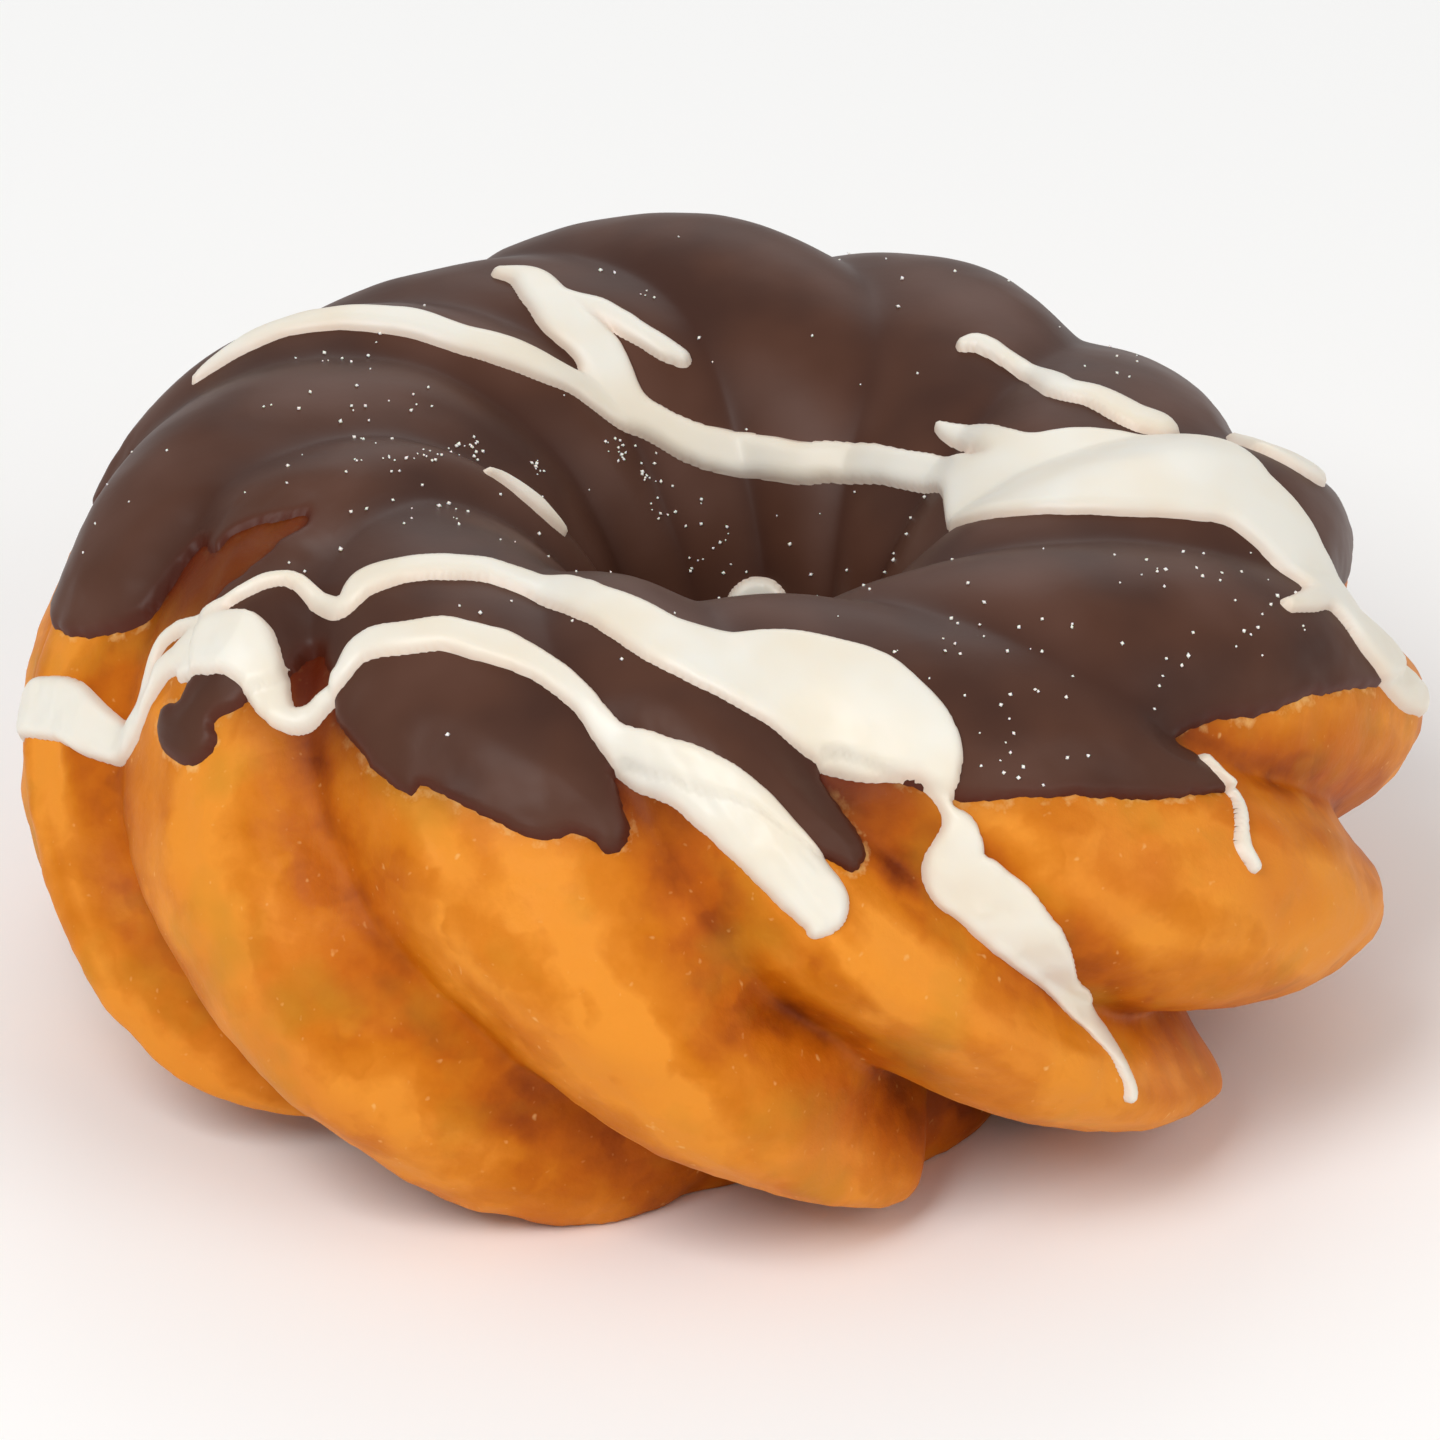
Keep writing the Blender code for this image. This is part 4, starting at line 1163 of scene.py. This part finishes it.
@dataclass(frozen=True)
class SugarCrystals:
    """Loose grains of sugar on the icing, a few everywhere and more in the clusters that the ring shows."""

    coat: ChocolateCoat
    # Each cluster: its (lobe, angle), how far it reaches along both, and its number of grains
    clusters: tuple[tuple[float, float, float, float, int], ...] = (
        (8.12, 103, 0.04, 3, 5), (8.05, 108, 0.06, 3, 8), (7.36, 115.5, 0.08, 3, 8),
        (7.25, 117.5, 0.06, 2, 6), (6.95, 126.5, 0.06, 2, 8), (5.65, 130.5, 0.12, 3, 16),
        (5.52, 134, 0.08, 4, 12), (5.56, 141, 0.08, 5, 10), (4.9, 145, 0.2, 5, 5), (5.3, 151, 0.3, 3, 6),
        (4.63, 99, 0.05, 3, 4), (11.23, 65, 0.1, 4, 8), (11.65, 60, 0.12, 4, 7), (10.94, 56, 0.12, 4, 9),
        (10.9, 66, 0.15, 5, 9), (0.03, 58, 0.12, 5, 7), (0.6, 72, 0.25, 9, 16), (11.5, 80, 0.35, 12, 20),
        (8.5, 104, 0.3, 10, 14), (6.4, 88, 0.4, 12, 20), (7.4, 100, 0.4, 12, 20),
    )
    strays: int = 170                       # grains anywhere on the icing
    clear_mm: float = 0.4                   # how far a grain stays inside the icing's edge
    angles: tuple[float, float] = (50, 165)
    size_mm: tuple[float, float] = (0.15, 0.36)
    seed: int = 21

    def places(self) -> tuple[Array, Array]:
        """Draws every grain's place: strays evenly, then each cluster as a bell-shaped scatter.

        Returns:
            The lobes and the angles.
        """
        draw = np.random.default_rng(self.seed)
        lobe = [draw.uniform(0, FORM.lobes, self.strays)]
        angle = [draw.uniform(*self.angles, self.strays)]
        for middle_lobe, middle_angle, along, across, count in self.clusters:
            lobe.append(draw.normal(middle_lobe, along, count))
            angle.append(draw.normal(middle_angle, across / 2, count))
        return np.concatenate(lobe) % FORM.lobes, np.concatenate(angle)

    def build(self) -> bpy.types.Object:
        """Makes the grains as one mesh: octahedra of uneven size and turn, sunk a third into the icing.

        A grain that would lie past the icing's edge is left out.

        Returns:
            The piece.
        """
        lobe, angle = self.places()
        depth = EDGE.depth(lobe, angle)
        kept = depth > self.clear_mm
        lobe, angle, depth = lobe[kept], angle[kept], depth[kept]
        draw = np.random.default_rng(self.seed + 1)
        size = draw.uniform(*self.size_mm, (len(lobe), 1, 1))
        half = size / 2 * draw.uniform(0.75, 1.25, (len(lobe), 1, 3)) * MM
        turns, _ = np.linalg.qr(draw.normal(size=(len(lobe), 3, 3)))
        turns *= np.sign(np.linalg.det(turns))[:, None, None]
        axes = np.array(((1, 0, 0), (-1, 0, 0), (0, 1, 0), (0, -1, 0), (0, 0, 1), (0, 0, -1)), float)
        middle = FORM.place(lobe, angle, self.coat.radius(lobe, angle, depth) + half[:, 0].mean(-1) / 3)
        points = middle[:, None] + (axes * half) @ turns
        sides = np.array(((0, 2, 4), (2, 1, 4), (1, 3, 4), (3, 0, 4),
                          (2, 0, 5), (1, 2, 5), (3, 1, 5), (0, 3, 5)))
        faces = (np.arange(len(lobe))[:, None, None] * len(axes) + sides).reshape(-1, 3)
        piece = new_piece("sugar_crystals", points.reshape(-1, 3), faces, SugarCrystalFinish().material())
        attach(piece, BODY)
        return piece


# ---------------------------------------------------------------------------------------------------------
# The studio
# ---------------------------------------------------------------------------------------------------------


@dataclass(frozen=True)
class SoftLight:
    """A square soft box that points at the ring."""

    name: str
    place: tuple[float, float, float]
    size: float
    power: float
    colour: str = "#FFFFFF"

    def build(self, target: Array) -> None:
        """Adds the light.

        Args:
            target: the place that it points at.
        """
        data = bpy.data.lights.new(self.name, "AREA")
        data.size = self.size
        data.energy = self.power
        data.color = linear(self.colour)[:3]
        lamp = bpy.data.objects.new(self.name, data)
        lamp.matrix_world = facing(np.array(self.place), target)
        bpy.context.scene.collection.objects.link(lamp)


def facing(place: Array, target: Array) -> Matrix:
    """The matrix of a camera or light at a place that looks at the target, upright."""
    turn = (Vector(target) - Vector(place)).to_track_quat("-Z", "Y").to_matrix().to_4x4()
    return Matrix.Translation(Vector(place)) @ turn


@dataclass(frozen=True)
class Studio:
    """A pale sheet, soft light all round, and the camera that the picture was taken with."""

    target: tuple[float, float, float] = (-0.0007, 0.0, 0.0199)
    elevation: float = 27.75                # degrees
    distance: float = 1.0
    ring_span: float = 0.095                # metres across the ring, which covers span_pixels
    span_pixels: float = 1420
    frame_pixels: float = 1440
    target_pixel: tuple[float, float] = (714, 706)
    sensor: float = 36
    floor_drop: float = 0.1 * MM
    floor_size: float = 6
    world_strength: float = 0.49
    lights: tuple[SoftLight, ...] = (
        SoftLight("key", (-0.35, -0.55, 0.75), 0.5, 5.0),
        SoftLight("fill", (0.7, -0.5, 0.5), 0.6, 2.1),
        SoftLight("back", (0.1, 0.8, 0.6), 0.6, 1.5),
    )

    def build(self) -> None:
        """Adds the floor, the lights, the sky and the camera."""
        half = self.floor_size / 2
        corners = np.array([(-half, -half), (half, -half), (half, half), (-half, half)])
        points = np.column_stack((corners, np.full(4, -self.floor_drop)))
        floor = new_piece("studio_floor", points, np.array([[0, 1, 2, 3]]), StudioFloorFinish().material())
        for light in self.lights:
            light.build(np.array(self.target))
        world = bpy.data.worlds.new("soft_sky")
        world.use_nodes = True
        world.node_tree.nodes["Background"].inputs["Color"].default_value = linear("#FFFFFF")
        world.node_tree.nodes["Background"].inputs["Strength"].default_value = self.world_strength
        bpy.context.scene.world = world
        bpy.context.scene.view_settings.view_transform = "Standard"
        self.camera()

    def camera(self) -> None:
        """Adds the camera: its lens makes the ring's span cover its pixels at this distance."""
        data = bpy.data.cameras.new("camera")
        data.sensor_width = self.sensor
        data.lens = self.span_pixels / self.ring_span * self.distance / self.frame_pixels * self.sensor
        data.shift_x = (self.frame_pixels / 2 - self.target_pixel[0]) / self.frame_pixels
        data.shift_y = -(self.frame_pixels / 2 - self.target_pixel[1]) / self.frame_pixels
        data.clip_start = 0.01
        data.clip_end = 20
        camera = bpy.data.objects.new("camera", data)
        tilt = np.radians(self.elevation)
        back = np.array((0, -np.cos(tilt), np.sin(tilt)))
        camera.matrix_world = facing(np.array(self.target) + back * self.distance, np.array(self.target))
        bpy.context.scene.collection.objects.link(camera)
        bpy.context.scene.camera = camera


def report(piece: bpy.types.Object) -> None:
    """Logs a piece's triangles and its measures.

    Args:
        piece: the object.
    """
    triangles = sum(len(face.vertices) - 2 for face in piece.data.polygons)
    sides = [side / MM for side in piece.dimensions]
    LOG.info("%s: %d triangles, %.1f x %.1f x %.1f mm", piece.name, triangles, *sides)


def main() -> None:
    """Builds the pieces in order, then the studio."""
    logging.basicConfig(level=logging.INFO, format="%(message)s")
    dough = FriedChouxRing()
    report(dough.build())
    coat = ChocolateCoat(dough)
    report(coat.build())
    report(WhiteDrizzle(coat).build())
    report(SugarCrystals(coat).build())
    Studio().build()


if __name__ == "__main__":
    main()
